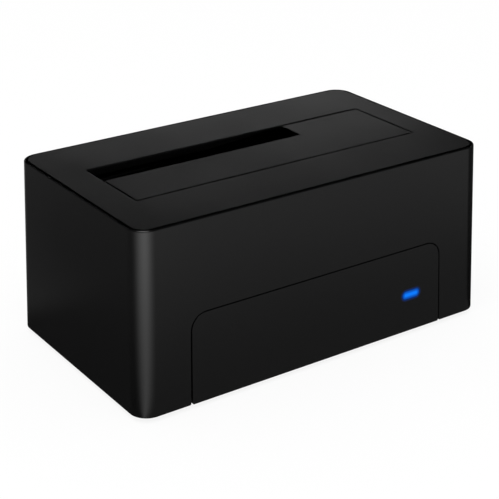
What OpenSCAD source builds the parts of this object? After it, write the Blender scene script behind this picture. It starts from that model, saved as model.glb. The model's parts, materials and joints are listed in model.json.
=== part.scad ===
// Docking station for one upright 3.5 inch or 2.5 inch drive.
// The origin is on the table, under the middle of the housing. X is the width, Y runs to the back, Z is up.

/* [Housing] */
// Top of the housing on either side of the drive bay
side_land = 11.75; // [11.5:0.25:20]
// Top of the housing before and behind the drive bay
long_land = 22; // [20:0.5:32]
// How much wider the housing is at its lower edge, on either side
side_draft = 2.15; // [1.5:0.05:3.5]
// How much deeper the housing is at its lower edge, at the front and at the back
long_draft = 1.9; // [1.4:0.05:3.5]
// Height of the outer shell, without the feet
shell_h = 59; // [57:0.5:75]
// Radius of the four upright corners
corner_r = 6; // [4:0.25:10]
// Wall thickness of the outer shell
wall_t = 2.2; // [1.8:0.1:2.8]
// Rounding of the rim that stands round the top cover
rim_r = 0.45; // [0.2:0.05:0.5]
// Thickness of the lip round the top cover
lip_t = 0.5; // [0.5:0.05:1]
// Shadow gap between the lip and the top cover
cover_gap = 0.65; // [0.3:0.05:0.9]
// Thickness of the top cover
cover_t = 2.4; // [2.3:0.1:3]

/* [Drive bay] */
// Length of the opening in the top cover
bay_w = 106.5; // [104:0.5:109]
// Opening in the top cover from front to back
bay_d = 31; // [30:0.25:34]
// Distance of the opening's middle from the housing's middle, to the right
bay_shift_x = 0.5; // [-1:0.25:1.5]
// Distance of the opening's middle from the housing's middle, to the back
bay_shift_y = -0.75; // [-2:0.25:0.5]
// Length of the notch for a small drive
slot_w = 74.4; // [72:0.25:78]
// Notch for a small drive from front to back
slot_d = 11.3; // [10:0.1:13]
// Seam round the flap
seam = 0.35; // [0.25:0.05:0.5]
// Radius of the opening's corners
bay_corner_r = 0.8; // [0.5:0.1:1.5]
// Wall thickness of the drive well
well_t = 1.8; // [1.4:0.1:2.2]
// How far the well's walls stand back from the opening's edge
well_ease = 0.35; // [0.2:0.05:0.6]
// Height of the well's floor above the table
floor_z = 18; // [17:0.25:22]
// Thickness of the well's floor
floor_t = 2; // [1.5:0.1:2.5]

/* [Flap] */
// Thickness of the flap
flap_t = 2; // [1.9:0.05:2.2]
// Distance of the hinge axis behind the flap's front edge
hinge_back = 1.6; // [1.6:0.05:1.8]
// Radius of the hinge barrel under the flap
barrel_r = 1.55; // [1.3:0.05:1.55]
// Radius of the hinge pin
pin_r = 0.75; // [0.5:0.05:0.8]
// Running clearance of the pin in the flap
pin_ease = 0.05; // [0.03:0.01:0.08]
// Wire thickness of the two closing springs
wire_d = 0.4; // [0.3:0.05:0.45]
// Number of turns of each closing spring
spring_turns = 4; // [3:1:5]

/* [Panels] */
// Half the width of the front panel's window
panel_half = 48.5; // [40:0.5:50]
// Height of the front panel's window above the shell's lower edge
panel_h = 29.5; // [26:0.5:36]
// Corner radius of the front panel's window
panel_r = 5.6; // [3:0.2:9]
// Outward lean of the window's sides, in degrees
panel_lean = 1.9; // [0.5:0.1:3]
// Seam between a panel and the shell
panel_seam = 0.4; // [0.3:0.05:0.6]
// Width of the lit window in the front panel
led_w = 6.4; // [5:0.1:8]
// Height of the lit window in the front panel
led_h = 2.4; // [1.8:0.1:3]
// Place of the lit window to the right of the middle
led_x = 36.4; // [26:0.2:40]
// Height of the lit window above the shell's lower edge
led_z = 12.5; // [11.5:0.25:16]
// Half the width of the rear panel's window
rear_half = 46; // [44:0.5:50]
// Height of the rear panel's window above the shell's lower edge
rear_h = 25; // [23:0.5:32]
// How far the rear panel lies behind the shell's back wall
rear_recess = 1; // [0.6:0.1:1.4]

/* [Base] */
// How far the feet stand out below the shell
foot_h = 1.5; // [1:0.1:3]
// Radius of a rubber foot
foot_r = 4.5; // [3.5:0.25:5.5]
// Thickness of the bottom tray
tray_t = 2.2; // [2:0.1:2.8]
// How far the tray lies above the shell's lower edge
tray_recess = 0.8; // [0.4:0.1:1.2]
// Core radius of the housing screws
screw_r = 1.1; // [0.9:0.05:1.3]
// Core radius of the board screws
board_screw_r = 0.9; // [0.7:0.05:1]

/* [Electronics] */
// Thickness of the main board
board_t = 1.6; // [1.2:0.1:2]
// Height of the board's stand-offs
standoff_h = 3; // [2.5:0.1:3.5]
// Distance of the drive connector's middle from the well's left wall
sata_from_left = 29.1; // [27:0.1:32]
// Distance of the drive connector's middle from the well's back wall
sata_from_back = 4.3; // [3.9:0.1:5]
// Place of the data socket on the rear, to the right of the middle
usb_x = -20; // [-28:0.5:-14]
// Place of the power socket on the rear, to the right of the middle
jack_x = 8; // [2:0.5:14]
// Place of the power switch on the rear, to the right of the middle
switch_x = 32; // [28:0.5:36]

/* [Hidden] */

// Overrun of every cut past the face that it opens
over = 0.6;
// Gap between parts that lie side by side without touching
ease = 0.15;
// Steps of a rounded corner of a quarter turn
corner_steps = 10;
// Steps of the rim's rounding
rim_steps = 4;
// Facets of round pieces
round_fn = 48;
small_fn = 24;
// Chamfer along the shell's lower edge
foot_chamfer = 0.3;
// Least corner radius of an inner outline
least_r = 0.4;

// Colours
shell_black = [0.055, 0.055, 0.06];
inner_black = [0.09, 0.09, 0.1];
steel = [0.72, 0.73, 0.75];
gold = [0.85, 0.66, 0.3];
board_green = [0.05, 0.27, 0.16];
chip_black = [0.12, 0.12, 0.13];

// Housing in plan, round its top and at its lower edge
top_w = bay_w + 2 * side_land;
top_d = bay_d + 2 * long_land;
base_w = top_w + 2 * side_draft;
base_d = top_d + 2 * long_draft;

// Heights
base_z = foot_h;
top_z = foot_h + shell_h;
ledge_z = top_z - cover_t;
tray_z = base_z + tray_recess;
tray_top = tray_z + tray_t;
board_z = tray_top + standoff_h;
board_top = board_z + board_t;

// Bay, well and flap in plan
bay_x0 = bay_shift_x - bay_w / 2;
bay_x1 = bay_shift_x + bay_w / 2;
bay_y0 = bay_shift_y - bay_d / 2;
bay_y1 = bay_shift_y + bay_d / 2;
well_x0 = bay_x0 - well_ease;
well_x1 = bay_x1 + well_ease;
well_y0 = bay_y0 - well_ease;
well_y1 = bay_y1 + well_ease;
flap_x0 = bay_x0 + seam;
flap_x1 = bay_x1 - seam;
flap_y0 = bay_y0 + seam;
flap_y1 = bay_y1 - seam;
notch_x1 = bay_x0 + slot_w;
notch_y0 = bay_y1 - slot_d;

// Hinge: its axis lies in the plane of the flap's underside
pivot_y = flap_y0 + hinge_back;
pivot_z = top_z - flap_t;
ear_r = barrel_r + ease;
ear_len = 3.6;
pin_grip = 0.02;
pin_end_left = bay_x0 - ear_len + ease;
pin_end_right = bay_x1 + ear_len;

// Closing springs
coil_r = pin_r + ease + wire_d / 2;
coil_gap = 0.06;
coil_pitch = wire_d + coil_gap;
coil_len = spring_turns * coil_pitch;
coil_steps = 24;
wire_sides = 6;
fixed_leg = 4.6;
arm_len = 7;
arm_gap = 0.25;
pocket_r = max(coil_r + wire_d / 2, barrel_r) + pin_ease;
pocket_len = coil_len + 3 * wire_d + 4 * arm_gap;
spring_inset = 9;
spring_xs = [flap_x0 + spring_inset, flap_x1 - spring_inset - pocket_len];

// Ribs and stop tabs under the flap
flap_rib_t = 1;
flap_rib_h = 1.2;
flap_rib_share = 0.5;
arm_rib_gap = 0.49;
flap_rib_inset = 2;
tab_w = 6;
tab_t = 1.2;
tab_reach = 2.1;
tab_drop = 0.3;
tab_root = 1.9;
tab_x_shares = [0.3, 0.75];
flap_rib_ys = [pivot_y + arm_len + arm_rib_gap, flap_y0 + flap_rib_share * (flap_y1 - flap_y0)];
tab_tip_y = flap_y1 + tab_reach;
tab_low = ledge_z - tab_drop - tab_t;
tab_swing_r = sqrt(pow(tab_tip_y - pivot_y, 2) + pow(pivot_z - tab_low, 2));
tab_leave_z = pivot_z - sqrt(pow(tab_swing_r, 2) - pow(well_y1 - pivot_y, 2)) - 3 * over;

// Drive well
well_top = pivot_z - ear_r - over;
guide_h = 9;
guide_reach = 2.3;
guide_inset_y = 4;
guide_lead = 3;
well_rib_t = 1.4;
well_rib_h = 1.6;
well_rib_count = 5;
well_boss_r = 3.1;
well_boss_h = 11;
well_boss_y_share = 0.3;

// Screws
head_r = 2.3;
head_h = 1.5;
seat_r = 4.1;
seat_h = 2;
seat_bore = head_r + 2 * ease;
seat_floor = tray_z + head_h + 2 * ease;
seat_top = tray_top + seat_h;
case_screw_len = 9;
well_screw_len = 8;
cover_screw_len = 7;
board_screw_len = 4.2;
board_head_r = 1.9;
board_head_h = 1.2;
hole_ease = 0.3;
core_ease = 0.02;
cross_w_share = 0.28;
cross_len_share = 1.3;
cross_depth_share = 0.55;

// Shell posts over the tray's seats
post_r = 3.4;
post_h = 14;
post_in_x = 7.2;
post_in_y = 7.2;
post_x = base_w / 2 - post_in_x;
post_y = base_d / 2 - post_in_y;
rib_t = 1.2;

// Cover posts and the shell's tabs below them
cover_post_r = 2.7;
cover_post_h = 8;
cover_post_in = 8;
cover_post_x = top_w / 2 - cover_post_in;
cover_post_y = top_d / 2 - cover_post_in;
shelf_t = 2.4;
shelf_r = 4;
shelf_top = ledge_z - cover_post_h;
cover_rib_h = 1.4;
cover_rib_off = 4.2;

// Panels
flange_t = 1.2;
flange_w = 1.3;
tray_ease = 0.3;
panel_rib_t = 1.4;
panel_rib_h = 2;
panel_rib_share = 0.8;

// Main board between the well's end walls
board_x0 = well_x0 + ease + hole_ease;
board_x1 = well_x1 - ease - hole_ease;
board_front_gap = 1.6;
board_back_gap = 1;
board_y0 = -base_d / 2 + wall_t + flange_t + panel_rib_t + board_front_gap;
board_y1 = base_d / 2 - wall_t - flange_t - board_back_gap;
board_hole_in = 5;
board_hole_r = board_screw_r + hole_ease;
standoff_r = 2.9;

// Drive connector
sata_x = well_x0 + sata_from_left;
sata_y = well_y1 - sata_from_back;
sata_d = 5.4;
sata_above = 4.4;
sata_top = floor_z + sata_above;
sata_foot_h = 4;
sata_ease = 0.4;
slot_deep = 5.6;
slot_wide = 1.6;
key_wide = 1.2;
key_long = 1.2;
slot_apart = 2.2;
contact_pitch = 1.27;
contact_w = 0.7;
contact_t = 0.25;
contact_h = 4.8;
signal_pins = 7;
power_pins = 15;
slot_end = 0.46;
signal_len = (signal_pins + 1) * contact_pitch + slot_end;
power_len = (power_pins + 1) * contact_pitch + slot_end;
sata_end = 2.3;
sata_w = signal_len + slot_apart + power_len + 2 * sata_end;
sata_foot_lip = 1.9;
sata_foot_side = 1.5;
sata_foot_w = sata_w + 2 * sata_foot_lip;
sata_foot_d = sata_d + 2 * sata_foot_side;
sata_start = sata_x - (signal_len + slot_apart + power_len) / 2;

// Rear sockets: each stands on the board and ends in the rear panel
port_sink = 1.2;
port_y = base_d / 2 - rear_recess - port_sink;
usb_w = 12;
usb_h = 11;
usb_deep = 16.5;
usb_t = 0.4;
usb_low_w = 8.5;
usb_low_h = 7.4;
usb_up_w = 6;
usb_up_h = 2;
usb_cut = 1.5;
usb_hollow = 9;
usb_low_z = 1;
tongue_w = 5.6;
tongue_h = 3.1;
tongue_z = 2.9;
tongue_len = 7.6;
top_tongue_h = 0.8;
top_tongue_z = 8.6;
jack_w = 9;
jack_h = 11;
jack_deep = 14;
jack_nose_r = 4;
jack_nose = 2.6;
jack_bore_r = 2.95;
jack_bore_deep = 10;
jack_pin_r = 1.05;
jack_pin_len = 9;
jack_axis_z = 6.6;

// Power switch
switch_w = 15;
switch_h = 9.6;
switch_deep = 11;
rocker_half = 5.2;
rocker_h = 6;
rocker_tilt = 11;
rocker_axis_in = 2.4;
rocker_back = 2.2;
rocker_window = 6.35;
rocker_room = 6.4;
mark_x_share = 0.58;
mark_w_share = 0.08;
mark_h_share = 0.2;
trunnion_r = 0.9;
trunnion_len = 1;
trunnion_ease = 0.05;
switch_z = board_top + switch_h / 2;
rocker_y = port_y - rocker_axis_in;
terminal_w = 2;
terminal_t = 0.6;
terminal_apart = 4;
mark_deep = 0.25;

// Light pipe and its lamp
pipe_drop_w = 3.4;
pipe_drop_d = 3;
lamp_w = 3.5;
lamp_d = 2.8;
lamp_h = 1.6;
lamp_gap = 0.3;
lamp_in = 1.1;
lamp_y = board_y0 + lamp_in + lamp_d / 2;
lamp_lens_r = 1;
lamp_lens_h = 0.2;

// Parts on the board
chip_w = 9;
chip_h = 0.9;
chip_y_share = 0.42;
flash_w = 5;
flash_d = 4;
flash_h = 1.5;
lead_w = 0.45;
lead_t = 0.2;
lead_len = 1;
lead_pitch = 1.27;
lead_count = 4;
can_w = 11;
can_d = 4.6;
can_h = 3.4;
can_base_h = 0.5;
can_place_share = 1.6;
coil_box = 6.8;
coil_box_h = 3.8;
coil_core_r = 2.4;
cap_r = 4;
cap_h = 9.5;
cap_base = 8.6;
cap_base_h = 1.1;
cap_groove = 0.25;
cap_edge = 0.5;
cap_waist_share = 0.22;
cap_waist_h_share = 0.05;
cap_pitch_share = 1.4;
passive_w = 2;
passive_d = 1.25;
passive_h = 0.6;
passive_pitch = 4;
passive_count = 6;

// Half the outline's width at a height
function half_w(z) = top_w / 2 + (base_w - top_w) / 2 * (top_z - z) / shell_h;
// Half the outline's depth at a height
function half_d(z) = top_d / 2 + (base_d - top_d) / 2 * (top_z - z) / shell_h;

// Points of an arc
function arc(cx, cy, r, a0, a1) =
    [for (i = [0:corner_steps]) let (a = a0 + (a1 - a0) * i / corner_steps)
        [cx + r * cos(a), cy + r * sin(a)]];

// Points of a rectangle with round corners, anticlockwise
function round_rect(hx, hy, r) = concat(
    arc(hx - r, hy - r, r, 0, 90), arc(r - hx, hy - r, r, 90, 180),
    arc(r - hx, r - hy, r, 180, 270), arc(hx - r, r - hy, r, 270, 360));

// Points of a slot outline with round ends
function pill(w, h) = concat(arc((w - h) / 2, 0, h / 2, -90, 90), arc((h - w) / 2, 0, h / 2, 90, 270));

// One level of the drafted housing: height, half width, half depth, corner radius
function level(z, inset) = [z, half_w(z) - inset, half_d(z) - inset, max(corner_r - inset, least_r)];

// Window of a panel: its sides lean outwards on their way down, and the upper corners are round
function window_pts(half, z_top, r, z_low) =
    let (cx = half - r, cz = z_top - r,
        foot = cx + r * cos(panel_lean) + (cz + r * sin(panel_lean) - z_low) * tan(panel_lean))
    concat([[foot, z_low]], arc(cx, cz, r, panel_lean, 90), arc(-cx, cz, r, 90, 180 - panel_lean),
        [[-foot, z_low]]);

// A closed body through a stack of outlines
module outline_loft(levels) {
    rings = [for (lv = levels) [for (p = round_rect(lv[1], lv[2], lv[3])) [p[0], p[1], lv[0]]]];
    n = len(rings[0]);
    m = len(rings);
    polyhedron(
        points = [for (ring = rings) each ring],
        faces = concat(
            [[for (i = [0:n - 1]) i]],
            [for (j = [0:m - 2], i = [0:n - 1])
                [j * n + i, (j + 1) * n + i, (j + 1) * n + (i + 1) % n, j * n + (i + 1) % n]],
            [[for (i = [n - 1:-1:0]) (m - 1) * n + i]]));
}

// The housing's drafted form between two heights, drawn in from the outside by inset
module drafted(z0, z1, inset) {
    outline_loft([level(z0, inset), level(z1, inset)]);
}

// A prism along Y from y0 back to y1 over an outline in X and Z
module prism_y(pts, y0, y1) {
    translate([0, y1, 0]) rotate([90, 0, 0]) linear_extrude(y1 - y0) polygon(pts);
}

// A slab that follows the drafted front wall, or the back wall when side is 1, between two depths
module wall_slab(side, in0, in1, z0, z1, w) {
    rotate([90, 0, 90]) linear_extrude(w, center = true)
        polygon([[side * (half_d(z0) - in0), z0], [side * (half_d(z1) - in0), z1],
            [side * (half_d(z1) - in1), z1], [side * (half_d(z0) - in1), z0]]);
}

// A block from one corner to the other
module block(x0, x1, y0, y1, z0, z1) {
    translate([x0, y0, z0]) cube([x1 - x0, y1 - y0, z1 - z0]);
}

// A block round a middle in X, from y0 to y1 and from z0 to z1
module bar(x, w, y0, y1, z0, z1) {
    block(x - w / 2, x + w / 2, y0, y1, z0, z1);
}

// A block round a middle in X and Y, from z0 to z1
module pad(x, y, w, d, z0, z1) {
    block(x - w / 2, x + w / 2, y - d / 2, y + d / 2, z0, z1);
}

// An upright cylinder that starts at a height
module rod(x, y, z, r, h) {
    translate([x, y, z]) cylinder(r = r, h = h, $fn = round_fn);
}

// A cylinder along X
module rod_x(x0, x1, y, z, r) {
    translate([x0, y, z]) rotate([0, 90, 0]) cylinder(r = r, h = x1 - x0, $fn = round_fn);
}

// The children at the right rear corner and their three mirror images
module four_corners() {
    for (sx = [0, 1], sy = [0, 1]) mirror([sx, 0, 0]) mirror([0, sy, 0]) children();
}

// A screw that points up, its head's seat at the origin
module screw(r, len, hr, hh) {
    difference() {
        union() {
            translate([0, 0, -hh]) cylinder(r = hr, h = hh, $fn = round_fn);
            cylinder(r = r, h = len, $fn = small_fn);
        }
        for (a = [0, 90]) rotate([0, 0, a])
            translate([-hr * cross_len_share / 2, -hr * cross_w_share / 2, -hh - over])
                cube([hr * cross_len_share, hr * cross_w_share, hh * cross_depth_share + over]);
    }
}

// Outer shell: a drafted sleeve, open below, with a lip round the top cover and windows for both panels
module outer_shell() {
    color(shell_black) difference() {
        union() {
            difference() {
                outline_loft(concat(
                    [level(base_z, foot_chamfer), level(base_z + foot_chamfer, 0)],
                    [for (i = [0:rim_steps]) let (a = 90 * i / rim_steps)
                        level(top_z - rim_r + rim_r * sin(a), rim_r * (1 - cos(a)))]));
                drafted(base_z - over, ledge_z + cover_t / 2, wall_t);
                drafted(ledge_z, top_z + over, lip_t);
            }
            intersection() {
                drafted(seat_top, ledge_z - over, wall_t / 2);
                union() {
                    shell_posts();
                    cover_shelves();
                }
            }
        }
        prism_y(window_pts(panel_half, base_z + panel_h, panel_r, base_z - over), -base_d / 2 - over,
            -half_d(base_z + panel_h) + wall_t + over);
        prism_y(window_pts(rear_half, base_z + rear_h, panel_r, base_z - over),
            half_d(base_z + rear_h) - wall_t - over, base_d / 2 + over);
        four_corners() {
            rod(post_x, post_y, seat_top - over, screw_r + core_ease, case_screw_len + over);
            rod(cover_post_x, cover_post_y, shelf_top - shelf_t - over, screw_r + hole_ease,
                shelf_t + 2 * over);
        }
    }
}

// Posts over the tray's screw seats, each with two ribs into the corner
module shell_posts() {
    four_corners() {
        rod(post_x, post_y, seat_top, post_r, post_h);
        block(post_x, base_w / 2, post_y - rib_t / 2, post_y + rib_t / 2, seat_top, seat_top + post_h);
        block(post_x - rib_t / 2, post_x + rib_t / 2, post_y, base_d / 2, seat_top, seat_top + post_h);
    }
}

// Shelves in the upper corners that carry the cover's posts
module cover_shelves() {
    four_corners() block(cover_post_x - shelf_r, base_w / 2, cover_post_y - shelf_r, base_d / 2,
        shelf_top - shelf_t, shelf_top);
}

// Opening of the bay in plan
module bay_outline() {
    translate([bay_shift_x, bay_shift_y]) polygon(round_rect(bay_w / 2, bay_d / 2, bay_corner_r));
}

// Top cover: the plate round the bay, with hinge ears, spring rests, ribs and four posts below
module top_cover() {
    inset = lip_t + cover_gap;
    color(shell_black) difference() {
        union() {
            translate([0, 0, ledge_z]) linear_extrude(cover_t)
                polygon(round_rect(top_w / 2 - inset, top_d / 2 - inset, corner_r - inset));
            block(bay_x0 - ear_len, bay_x0, pivot_y - ear_r, pivot_y + ear_r, pivot_z - ear_r, ledge_z);
            block(bay_x1, bay_x1 + ear_len, pivot_y - ear_r, pivot_y + ear_r, pivot_z - ear_r, ledge_z);
            for (x = spring_xs)
                block(x + arm_gap, x + arm_gap + 3 * wire_d, pivot_y - fixed_leg, bay_y0 - ease,
                    pivot_z - coil_r + wire_d / 2 + pin_ease, ledge_z);
            for (y = [bay_y0 - cover_rib_off - rib_t, bay_y1 + cover_rib_off])
                block(bay_x0, bay_x1, y, y + rib_t, ledge_z - cover_rib_h, ledge_z);
            four_corners() rod(cover_post_x, cover_post_y, shelf_top, cover_post_r, cover_post_h);
        }
        translate([0, 0, ledge_z - over]) linear_extrude(cover_t + 2 * over) bay_outline();
        rod_x(pin_end_left - ease, bay_x0 + over, pivot_y, pivot_z, pin_r + pin_grip);
        rod_x(bay_x1 - over, bay_x1 + ear_len + over, pivot_y, pivot_z, pin_r + pin_grip);
        four_corners() rod(cover_post_x, cover_post_y, shelf_top - over, screw_r + core_ease,
            cover_screw_len - shelf_t + 2 * over);
    }
}

// Flap: an L-shaped plate with a hinge barrel, spring pockets, ribs and two stop tabs
module flap_door() {
    r = bay_corner_r - seam / 2;
    color(shell_black) difference() {
        union() {
            translate([0, 0, pivot_z]) linear_extrude(flap_t) polygon(concat(
                arc(flap_x0 + r, flap_y0 + r, r, 180, 270), arc(flap_x1 - r, flap_y0 + r, r, 270, 360),
                arc(flap_x1 - r, flap_y1 - r, r, 0, 90),
                [[notch_x1, flap_y1], [notch_x1, notch_y0], [flap_x0, notch_y0]]));
            rod_x(flap_x0, flap_x1, pivot_y, pivot_z, barrel_r);
            for (y = flap_rib_ys)
                block(flap_x0 + flap_rib_inset, flap_x1 - flap_rib_inset, y, y + flap_rib_t,
                    pivot_z - flap_rib_h, pivot_z + flap_t / 2);
            block(notch_x1 + flap_rib_inset, flap_x1 - flap_rib_inset, flap_y1 - tab_root - flap_rib_t,
                flap_y1 - tab_root, pivot_z - flap_rib_h, pivot_z + flap_t / 2);
            for (s = tab_x_shares) let (x = notch_x1 + s * (flap_x1 - notch_x1) - tab_w / 2) {
                block(x, x + tab_w, flap_y1 - tab_root, flap_y1, tab_low, pivot_z + flap_t / 2);
                block(x, x + tab_w, flap_y1 - tab_root, tab_tip_y, tab_low, tab_low + tab_t);
            }
        }
        rod_x(flap_x0 - over, flap_x1 + over, pivot_y, pivot_z, pin_r + pin_ease);
        for (x = spring_xs) rod_x(x, x + pocket_len, pivot_y, pivot_z, pocket_r);
    }
}

// Steel pin through the flap, held in the cover's ears
module hinge_pin() {
    color(steel) rod_x(pin_end_left, pin_end_right, pivot_y, pivot_z, pin_r);
}

// A wire swept through stations, each with its middle and its outward direction
module coil_wire(x) {
    turns = spring_turns * coil_steps;
    stations = concat(
        [[[x, -fixed_leg, -coil_r], [0, 0, -1]]],
        [for (i = [0:turns]) let (a = 360 * i / coil_steps - 90)
            [[x + coil_pitch * i / coil_steps, coil_r * cos(a), coil_r * sin(a)], [0, cos(a), sin(a)]]]);
    n = wire_sides;
    m = len(stations);
    polyhedron(
        points = [for (s = stations, k = [0:n - 1]) let (b = 360 * k / n)
            s[0] + wire_d / 2 * (cos(b) * s[1] + sin(b) * [1, 0, 0])],
        faces = concat(
            [[for (k = [0:n - 1]) k]],
            [for (j = [0:m - 2], k = [0:n - 1])
                [j * n + k, (j + 1) * n + k, (j + 1) * n + (k + 1) % n, j * n + (k + 1) % n]],
            [[for (k = [n - 1:-1:0]) (m - 1) * n + k]]));
}

// Coils of the two closing springs on the pin, each with the leg that rests under the cover
module spring_coils() {
    color(steel) for (x = spring_xs)
        translate([0, pivot_y, pivot_z]) coil_wire(x + arm_gap + 3 * wire_d / 2);
}

// The springs' moving arms, which press against the flap's underside
module spring_arms() {
    rise = coil_r - wire_d / 2 - pin_ease;
    run = arm_len - wire_d;
    color(steel) for (x = spring_xs)
        translate([x + pocket_len - arm_gap - wire_d / 2, pivot_y + wire_d, pivot_z - coil_r])
            rotate([atan2(rise, run) - 90, 0, 0]) cylinder(r = wire_d / 2, h = run, $fn = small_fn);
}

// Drive well: floor, four walls, end walls that stand on the tray, guides, ribs and screw bosses
module drive_well() {
    out_x0 = well_x0 - well_t;
    out_x1 = well_x1 + well_t;
    out_y0 = well_y0 - well_t;
    out_y1 = well_y1 + well_t;
    color(inner_black) difference() {
        union() {
            block(out_x0, out_x1, out_y0, out_y1, floor_z - floor_t, floor_z);
            block(out_x0, out_x1, out_y0, well_y0, floor_z - floor_t, well_top);
            block(out_x0, out_x1, well_y1, out_y1, floor_z - floor_t, well_top);
            block(out_x0, well_x0, out_y0, out_y1, tray_top, well_top);
            block(well_x1, out_x1, out_y0, out_y1, tray_top, well_top);
            for (i = [1:well_rib_count], y = [out_y0 - well_rib_h, out_y1 - well_t / 2])
                let (x = well_x0 + i * (well_x1 - well_x0) / (well_rib_count + 1))
                block(x - well_rib_t / 2, x + well_rib_t / 2, y, y + well_rib_h + well_t / 2,
                    floor_z - floor_t, well_top - cover_rib_off);
            for (p = well_boss_places()) rod(p[0], p[1], seat_top, well_boss_r, well_boss_h);
            drive_guides();
        }
        pad(sata_x, sata_y, sata_w + 2 * sata_ease, sata_d + 2 * sata_ease, floor_z - floor_t - over,
            floor_z + over);
        for (s = tab_x_shares) let (x = notch_x1 + s * (flap_x1 - notch_x1) - tab_w / 2)
            block(x - over, x + tab_w + over, well_y1 - over, out_y1 + well_rib_h + over, tab_leave_z,
                well_top + over);
        for (p = well_boss_places()) {
            rod(p[0], p[1], seat_top - over, screw_r + core_ease, well_screw_len + over);
            rod(p[0], p[1], tray_top - over, well_boss_r + ease, seat_h + over);
        }
    }
}

// Low guides at both ends of the well, with sloping tops, that centre a drive on the connector
module drive_guides() {
    len = well_y1 - well_y0 - 2 * guide_inset_y;
    for (end = [[well_x0, 1], [well_x1, -1]])
        translate([end[0], well_y0 + guide_inset_y + len, floor_z]) rotate([90, 0, 0]) linear_extrude(len)
            polygon([[-end[1] * over, 0], [end[1] * guide_reach, 0],
                [end[1] * guide_reach, guide_h - guide_lead], [0, guide_h], [-end[1] * over, guide_h]]);
}

// A panel that fills a window in the wall, with a flange behind the wall
module window_panel(side, half, z_top, recess) {
    y_far = base_d / 2 + over;
    z_high = z_top + flange_w + over;
    intersection() {
        wall_slab(side, recess, wall_t + ease, base_z, z_high, base_w);
        prism_y(window_pts(half - panel_seam, z_top - panel_seam, panel_r - panel_seam, base_z - over),
            side > 0 ? 0 : -y_far, side > 0 ? y_far : 0);
    }
    intersection() {
        wall_slab(side, wall_t + ease, wall_t + ease + flange_t, tray_top, z_high, base_w);
        prism_y(window_pts(half + flange_w, z_top + flange_w, panel_r + flange_w, base_z - over),
            side > 0 ? 0 : -y_far, side > 0 ? y_far : 0);
    }
}

// Front panel with the lit window's hole
module front_panel() {
    color(shell_black) difference() {
        window_panel(-1, panel_half, base_z + panel_h, 0);
        translate([led_x, 0, base_z + led_z])
            prism_y(pill(led_w + ease, led_h + ease), -base_d / 2 - over, board_y0);
    }
}

// Rear panel with holes for the sockets and the switch
module rear_panel() {
    color(shell_black) difference() {
        window_panel(1, rear_half, base_z + rear_h, rear_recess);
        bar(usb_x, usb_w + 2 * ease, board_y1 - over, base_d / 2 + over, board_top - ease,
            board_top + usb_h + ease);
        bar(jack_x, jack_w + 2 * ease, board_y1 - over, port_y - jack_nose + ease, board_top - ease,
            board_top + jack_h + ease);
        translate([jack_x, board_y1, board_top + jack_axis_z]) rotate([-90, 0, 0])
            cylinder(r = jack_nose_r + ease, h = base_d, $fn = round_fn);
        bar(switch_x, switch_w + 2 * ease, board_y1 - over, base_d / 2 + over, board_top - ease,
            board_top + switch_h + ease);
    }
}

// Bottom tray: plate, screw seats, stand-offs for the board and ribs behind the panels
module bottom_tray() {
    color(inner_black) difference() {
        union() {
            drafted(tray_z, tray_top, wall_t + tray_ease);
            four_corners() rod(post_x, post_y, tray_z, seat_r, seat_top - tray_z);
            for (p = well_boss_places()) rod(p[0], p[1], tray_z, well_boss_r, seat_top - tray_z);
            for (p = board_hole_places()) rod(p[0], p[1], tray_top - over, standoff_r, standoff_h + over);
            wall_slab(-1, wall_t + flange_t + 2 * ease, wall_t + flange_t + 2 * ease + panel_rib_t,
                tray_top - over, tray_top + panel_rib_h, 2 * panel_half * panel_rib_share);
            wall_slab(1, wall_t + flange_t + 2 * ease, wall_t + flange_t + 2 * ease + panel_rib_t,
                tray_top - over, tray_top + panel_rib_h, 2 * rear_half * panel_rib_share);
        }
        for (p = concat(post_places(), well_boss_places())) {
            rod(p[0], p[1], tray_z - over, seat_bore, seat_floor - tray_z + over);
            rod(p[0], p[1], tray_z, screw_r + hole_ease, seat_top - tray_z + over);
        }
        for (p = board_hole_places())
            rod(p[0], p[1], tray_top - over, board_screw_r + core_ease, standoff_h + 2 * over);
        for (p = foot_places()) rod(p[0], p[1], tray_z - over, foot_r + ease, tray_t / 3 + over);
    }
}

// Middles of the shell's posts
function post_places() = [for (sx = [-1, 1], sy = [-1, 1]) [sx * post_x, sy * post_y]];

// Middles of the well's screw bosses
function well_boss_places() =
    let (y0 = well_y0 - well_t, y1 = well_y1 + well_t, d = well_boss_y_share * (y1 - y0))
    [for (x = [well_x0 - well_boss_r - well_t / 2, well_x1 + well_boss_r + well_t / 2], s = [-1, 1])
        [x, (y0 + y1) / 2 + s * d]];

// Middles of the board's screw holes
function board_hole_places() =
    [for (x = [board_x0 + board_hole_in, board_x1 - board_hole_in],
        y = [board_y0 + board_hole_in, board_y1 - board_hole_in]) [x, y]];

// Middles of the feet
function foot_places() =
    [for (sx = [-1, 1], sy = [-1, 1]) [sx * (post_x - 2 * foot_r), sy * (post_y - foot_r)]];

// Four rubber feet, each a low round pad with a rounded edge, let into the tray
module rubber_feet() {
    high = tray_z + tray_t / 3;
    color([0.13, 0.13, 0.14]) for (p = foot_places()) translate([p[0], p[1], 0])
        rotate_extrude($fn = round_fn) polygon(concat([[0, 0]],
            [for (i = [0:rim_steps]) let (a = 90 * i / rim_steps)
                [foot_r - foot_h / 3 + foot_h / 3 * sin(a), foot_h / 3 * (1 - cos(a))]],
            [[foot_r, high], [0, high]]));
}

// Screws that hold the shell on the tray
module case_screws() {
    color(steel) for (p = post_places())
        translate([p[0], p[1], seat_floor]) screw(screw_r, case_screw_len, head_r, head_h);
}

// Screws that hold the drive well on the tray
module well_screws() {
    color(steel) for (p = well_boss_places())
        translate([p[0], p[1], seat_floor]) screw(screw_r, well_screw_len, head_r, head_h);
}

// Screws that hold the top cover down on the shell's shelves
module cover_screws() {
    color(steel) four_corners()
        translate([cover_post_x, cover_post_y, shelf_top - shelf_t])
            screw(screw_r, cover_screw_len, head_r, head_h);
}

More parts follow.
